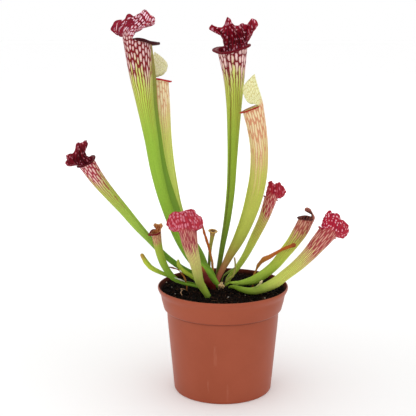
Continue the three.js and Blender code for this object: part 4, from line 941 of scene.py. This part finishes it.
def pot_material():
    """Dull moulded plastic with faint clouds, fine lengthwise scuffs and painted shade under the collar's ledge."""
    n = Look("pot_plastic")
    here = n.here()
    around, down = n.attributes("around", "down")
    cloud, speck = n.noise(here, 22.0, 4.0), n.noise(here, 1500.0, 2.0)
    scuff = n.grain(around * 620.0, down * 0.05, 0.0, 4.0, 0.7).ramp(0.66, 0.8)
    base = n.mix(cloud.ramp(0.3, 0.7), (153, 74, 49), (160, 79, 54))
    base = n.mix(scuff * 0.18, base, (205, 150, 130))
    worn = n.grain(around * 900.0, down * 0.12, 4.0, 3.0)
    for place, wide, top, bottom in SCUFFS:
        across = (around - place).math("ABSOLUTE").fall(0.3 * wide, wide)
        length = down.ramp(top, top + 4.0) * down.fall(bottom - 4.0, bottom)
        base = n.mix(across * length * worn.ramp(0.35, 0.65) * SCUFF_AMOUNT, base, (196, 130, 106))
    # Painted shade: a dark brown band under the collar's ledge.
    ledge_shade = down.ramp(*LEDGE_SHADE_PAINTED[:2]) * down.fall(*LEDGE_SHADE_PAINTED[2:])
    base = n.mix(ledge_shade * 0.55, base, (96, 40, 26))
    base = n.shaded(base, speck.ramp(0.2, 0.8, 0.97, 1.03))
    return n.finish(base, cloud.ramp(0.2, 0.8, 0.36, 0.46), 0.18, (speck + cloud, 0.05, 0.0002))


def pot_inside_material():
    """The pot's inner wall, dull: its plastic painted darker as shade, and darker still towards the soil
    from soil stains and deeper painted shade.
    """
    n = Look("pot_inside")
    stain_and_shade = n.noise(n.here(), 160.0, 4.0)
    depth = stain_and_shade * 3.0 + n.attributes("down")[0]
    # Painted shade on the whole wall, growing towards the soil, where soil stains add to it.
    base = n.mix(depth.ramp(1.5, 6.0), (92, 38, 27), (30, 13, 10))
    return n.finish(base, stain_and_shade.ramp(0.2, 0.8, 0.7, 0.95), 0.05, (stain_and_shade, 0.3, 0.0004))


# ---- soil -----------------------------------------------------------------------------------------
SOIL_EDGE = 91.5
MOUND = 3.5
MOUND_MIDDLE = (-3.0, 3.5)
MOUND_SPREAD = 17.0
SOIL_RADIUS = 55.8
SOIL_RINGS = 110
SOIL_SECTORS = 400
EDGE_HEAP = 1.9
# The soil's hidden wall inside the pot, from the top down to the middle of its floor: radius and height.
SOIL_WALL = [[55, 88], [53.3, 80.5], [49.7, 75.5], [49.2, 72], [43, 5], [41, 2.5], [0, 2.5]]


def soil_height(x, y):
    """Height of the soil's smooth surface: a mound round the plant and a heap by the wall."""
    away = np.hypot(x - MOUND_MIDDLE[0], y - MOUND_MIDDLE[1])
    mound = MOUND * np.exp(-0.5 * (away / MOUND_SPREAD) ** 2)
    return SOIL_EDGE + mound + EDGE_HEAP * smoothstep(np.hypot(x, y), 40, SOIL_RADIUS - 1)


def soil_sheet():
    """The soil's crumbly top: rings of points raised by seeded noise of several sizes, and a plain wall below."""
    radius = np.linspace(0, 1, SOIL_RINGS + 1)[:, None] * SOIL_RADIUS
    turn = np.linspace(0, FULL_TURN, SOIL_SECTORS + 1)[None]
    flat = ring_points(radius, turn, 0.0)
    crumbs = 0.55 * noise3(flat, 5, 7.0, 4) + 0.45 * np.abs(noise3(flat, 6, 2.6, 3)) - 0.25
    edge = smoothstep(radius, SOIL_RADIUS - 2.5, SOIL_RADIUS)
    height = soil_height(flat[..., 0], flat[..., 1]) + crumbs * (1 - 0.5 * edge) - 0.5 * edge
    height[:, -1] = height[:, 0]
    sheet = Sheet()
    top = sheet.add(ring_points(radius, turn, height))
    sheet.grid(top)
    wall = np.array(SOIL_WALL)
    wall = sheet.add(ring_points(wall[:, :1], turn, wall[:, 1:]))
    sheet.grid(np.concatenate([wall[::-1], top[-1:]]))
    return sheet


def soil_material():
    """Nearly black, with a few browner patches."""
    n = Look("soil")
    here = n.here()
    big, fine = n.noise(here, 180.0, 4.0), n.noise(here, 900.0, 3.0)
    base = n.mix(big.ramp(0.3, 0.7), (8, 5, 4), (24, 15, 11))
    base = n.mix(fine.ramp(0.6, 0.78, 0.0, 0.4), base, (70, 42, 30))
    return n.finish(base, fine.ramp(0.2, 0.8, 0.75, 1.0), 0.05, (big + fine, 0.9, 0.0012))


# ---- small things on the soil ---------------------------------------------------------------------
LUMP_ROWS = 5
LUMP_SIDES = 6
CRUMB_COUNT = 2600
FIBRE_COUNT = 230
PERLITE_COUNT = 12
# Larger white grains: x, y and size.
PERLITE_SPOTS = [(10.5, 7.3, 1.1), (12.2, 6.6, 0.8), (-53.0, 20.0, 0.7), (4.5, -24.5, 0.6), (37.3, -26.0, 0.55)]
# Slim strands that lie on the soil or a leaf: a thin root, the pale husk on the low leaf, and a sprout.
STRANDS = {
    "strand_pale_root": dict(
        thin=0.8, wide=0, rough=0.3, seed=61, replaced="soil",
        look=((150, 110, 80), (190, 150, 116), (206, 170, 134), (120, 80, 58)),
        path=[[-37, -17, 92.6, 0.3], [-38.4, -13.5, 94.6, 0.42], [-37.2, -9, 95.6, 0.45], [-38.6, -5, 95.4, 0.4],
              [-36.6, -1.5, 94.4, 0.35], [-34.5, -0.5, 93, 0.3]]),
    "husk_pale": dict(
        thin=0.35, wide=-40, rough=0.5, seed=62, replaced="pitcher_small_withered",
        look=((204, 200, 190), (228, 225, 218), (214, 210, 200), (160, 154, 144)),
        path=[[-45.2, -5.4, 106.4, 0.3], [-43.7, -5.4, 105.9, 1.2], [-41.1, -5.4, 104.9, 1.6],
              [-38.4, -5.4, 103.8, 1.5], [-36.2, -5.4, 103, 1], [-35.1, -5.4, 102.4, 0.3]]),
    "sprout_small": dict(
        thin=0.8, wide=0, rough=0.2, seed=63, replaced="soil",
        look=((120, 160, 56), (170, 190, 90), (238, 206, 176), (150, 165, 80)),
        path=[[27, -20.6, 100.4, 0.5], [30, -22.4, 102.6, 0.8], [32.4, -23.2, 105.2, 0.9],
              [33.9, -23.4, 107.2, 1.15], [34.6, -23.3, 108.4, 0.7]]),
}


def turning(angles, axis):
    """A matrix for each angle that turns about one axis, numbered 0 to 2."""
    i, j = (axis + 1) % 3, (axis + 2) % 3
    matrix = np.zeros((len(angles), 3, 3))
    matrix[:, axis, axis] = 1
    matrix[:, i, i] = matrix[:, j, j] = np.cos(angles)
    matrix[:, j, i] = np.sin(angles)
    matrix[:, i, j] = -np.sin(angles)
    return matrix


def lump_field(places, sizes, turns, seed, rough):
    """Many rough lumps in one mesh: each is a ball of a few rows and sides, stretched by its three sizes, dented by
    seeded noise and turned by its three angles. Returns a sheet; the value 'around' holds a random number per lump."""
    random = rng(seed)
    up = np.linspace(0, np.pi, LUMP_ROWS + 1)[:, None]
    ball = ring_points(np.sin(up), np.linspace(0, FULL_TURN, LUMP_SIDES + 1)[None], np.cos(up))
    count = len(places)
    dents = 1 + rough * random.uniform(-1, 1, (count, LUMP_ROWS + 1, LUMP_SIDES + 1, 1))
    dents[:, :, -1] = dents[:, :, 0]
    dents[:, 0] = dents[:, :1, 0]
    dents[:, -1] = dents[:, -1:, 0]
    spin, tilt, roll = (turning(angles, axis) for angles, axis in zip(turns.T, (2, 1, 0)))
    points = np.einsum("nij,nrsj->nrsi", spin @ tilt @ roll, ball * dents * sizes[:, None, None])
    chance = random.uniform(0, 1, count)[:, None, None]
    sheet = Sheet()
    sheet.grid(sheet.add(points + places[:, None, None], around=chance, down=sizes[:, :1, None]), flip=True)
    return sheet


def scattered(count, seed, widest):
    """Seeded places on the soil, evenly spread over its disc, and the source they were drawn from."""
    random = rng(seed)
    radius = widest * np.sqrt(random.uniform(0, 1, count))
    turn = random.uniform(0, FULL_TURN, count)
    return radius * np.cos(turn), radius * np.sin(turn), random


def crumb_sheet():
    """Crumbs of peat and chips of bark, most of them under a millimetre, a few larger and flat."""
    x, y, random = scattered(CRUMB_COUNT, 71, 54.5)
    size = 0.35 + 0.9 * random.uniform(0, 1, len(x)) ** 3
    flat = random.uniform(0, 1, len(x)) > 0.8
    across = size * random.uniform(0.7, 1.1, len(x))
    sizes = np.stack([np.where(flat, 2.2, 1.25) * size, across, size * np.where(flat, 0.35, 0.8)], -1)
    turns = [random.uniform(0, FULL_TURN, len(x)), random.normal(0, 0.5, len(x)), random.normal(0, 0.5, len(x))]
    z = soil_height(x, y) + 0.35 * size + random.uniform(-0.1, 0.3, len(x))
    return lump_field(np.stack([x, y, z], -1), sizes, np.stack(turns, -1), 72, 0.3)


def fibre_sheet():
    """Loose fibres of peat moss and bits of dry leaf, long and thin, lying every way."""
    x, y, random = scattered(FIBRE_COUNT, 81, 52.0)
    size = random.uniform(0.8, 2.6, len(x))
    thick = random.uniform(0.12, 0.26, len(x))
    turns = np.stack([random.uniform(0, FULL_TURN, len(x)), random.normal(0, 0.35, len(x)), 0 * size], -1)
    places = np.stack([x, y, soil_height(x, y) + 0.75 + 0.1 * size], -1)
    return lump_field(places, np.stack([size, thick, thick * 0.7], -1), turns, 82, 0.15)


def perlite_sheet():
    """White grains of perlite: a few in named spots and some scattered."""
    x, y, random = scattered(PERLITE_COUNT, 91, 50.0)
    spots = np.array(PERLITE_SPOTS)
    x, y = np.concatenate([spots[:, 0], x]), np.concatenate([spots[:, 1], y])
    size = np.concatenate([spots[:, 2], random.uniform(0.3, 0.55, PERLITE_COUNT)])
    sizes = size[:, None] * random.uniform(0.7, 1.1, (len(x), 3))
    turns = random.uniform(0, np.pi, (len(x), 3))
    return lump_field(np.stack([x, y, soil_height(x, y) + 0.9], -1), sizes, turns, 92, 0.25)


# Pieces made of many lumps: the sheet, the material's name and the colours of the single lumps.
LUMPS = {
    "soil_crumbs": (crumb_sheet, "crumbs", [(8, 5, 4), (17, 11, 8), (30, 19, 14), (52, 30, 21), (14, 9, 7)]),
    "soil_fibres": (fibre_sheet, "fibres", [(44, 27, 18), (72, 48, 32), (28, 18, 13), (118, 86, 60)]),
    "perlite_grains": (perlite_sheet, "perlite", [(226, 216, 204), (200, 186, 170)]),
}


def grain_material(name, colours):
    """Each grain takes a colour between the given ones by its own random number, with a fine mottle."""
    n = Look(name)
    own, = n.attributes("around")
    mottle = n.noise(n.here(), 1400.0, 2.0)
    base = colours[0]
    for k, colour in enumerate(colours[1:]):
        place = (k + 1) / len(colours)
        base = n.mix(own.ramp(place - 0.06, place + 0.06), base, colour)
    return n.finish(n.shaded(base, mottle.ramp(0.25, 0.75, 0.7, 1.2)), 0.85, 0.1)


# ---- the pieces -----------------------------------------------------------------------------------
def build_pieces():
    """Every piece of the object, each with its material and the node that it replaces."""
    for name, leaf in PITCHERS.items():
        finish_piece(pitcher(leaf).piece("fine_" + name), "pitcher_leaf", leaf_material(name), name)
    for number, (name, stalk) in enumerate(STALKS.items()):
        made = stalk_sheet(stalk, 40 + number, STALK_SIDES, stalk.get("rough", SMOOTH_STALK)).piece("fine_" + name)
        finish_piece(made, stalk.get("slot", "dry_leaf"), stalk_material(name, *STALK_LOOKS[name]), name)
    pot = pot_sheet().piece("fine_pot")
    finish_piece(pot, "pot_plastic", pot_material(), "pot")
    pot.data.materials.append(pot_inside_material())
    is_inside = np.arange(len(pot.data.polygons) // POT_SIDES) >= np.argmax(pot_line()[:, 1]) + 1
    pot.data.polygons.foreach_set("material_index", np.repeat(is_inside, POT_SIDES).astype(np.int32))
    finish_piece(soil_sheet().piece("fine_soil"), "soil", soil_material(), "soil")
    for name, (sheet, look, colours) in LUMPS.items():
        finish_piece(sheet().piece(name), "soil", grain_material(look, colours), "soil")
    for name, strand in STRANDS.items():
        made = stalk_sheet(strand, strand["seed"], STRAND_SIDES, strand["rough"]).piece(name)
        finish_piece(made, "dry_leaf", stalk_material(name, *strand["look"]), strand["replaced"])


# ---- floor, world, lights and camera --------------------------------------------------------------
FLOOR_HALF = 40.0
# Name, place, width and power of each light, in metres and watts. All of them aim at one point in the plant.
LIGHTS = [
    ("key", (-0.7, -0.9, 1.3), 0.9, 16.0),
    ("fill", (0.9, -0.8, 0.7), 1.2, 2.5),
    ("back", (0.2, 1.0, 1.1), 1.0, 7.0),
]
LIGHT_AIM = (-0.01, 0, 0.17)
CAMERA_LENS = 76.6
CAMERA_PLACE = (-0.0137, -0.7868, 0.3255)
CAMERA_TILT = 78.82


def build_stage():
    """A white floor and world, soft lights and the camera that sees what the photo shows."""
    mesh = bpy.data.meshes.new("floor")
    corners = [(x * FLOOR_HALF, y * FLOOR_HALF, 0) for x, y in ((-1, -1), (1, -1), (1, 1), (-1, 1))]
    mesh.from_pydata(corners, [], [(0, 1, 2, 3)])
    floor = linked("floor", mesh)
    mesh.materials.append(Look("floor").finish(srgb((255, 255, 255)), 0.9, 0.5))
    world = bpy.data.worlds.new("world")
    bpy.context.scene.world = world
    world.use_nodes = True
    background = world.node_tree.nodes["Background"].inputs
    background["Color"].default_value = srgb((255, 255, 255))
    background["Strength"].default_value = 1.0
    for name, place, size, power in LIGHTS:
        data = bpy.data.lights.new(name, "AREA")
        data.shape, data.size, data.energy = "DISK", size, power
        light = linked(name, data)
        light.location = place
        # A light shines down its own axis: tip it up from straight down, then turn it towards the aim.
        x, y, z = unit(np.array(LIGHT_AIM) - np.array(place)).tolist()
        light.rotation_euler = (np.arccos(-z), 0.0, np.arctan2(x, -y))
    data = bpy.data.cameras.new("camera")
    data.lens = CAMERA_LENS
    camera = linked("camera", data)
    camera.location = CAMERA_PLACE
    camera.rotation_euler = (np.radians(CAMERA_TILT), 0, 0)
    bpy.context.scene.camera = camera
    bpy.context.scene.view_settings.view_transform = "Standard"


build_pieces()
build_stage()
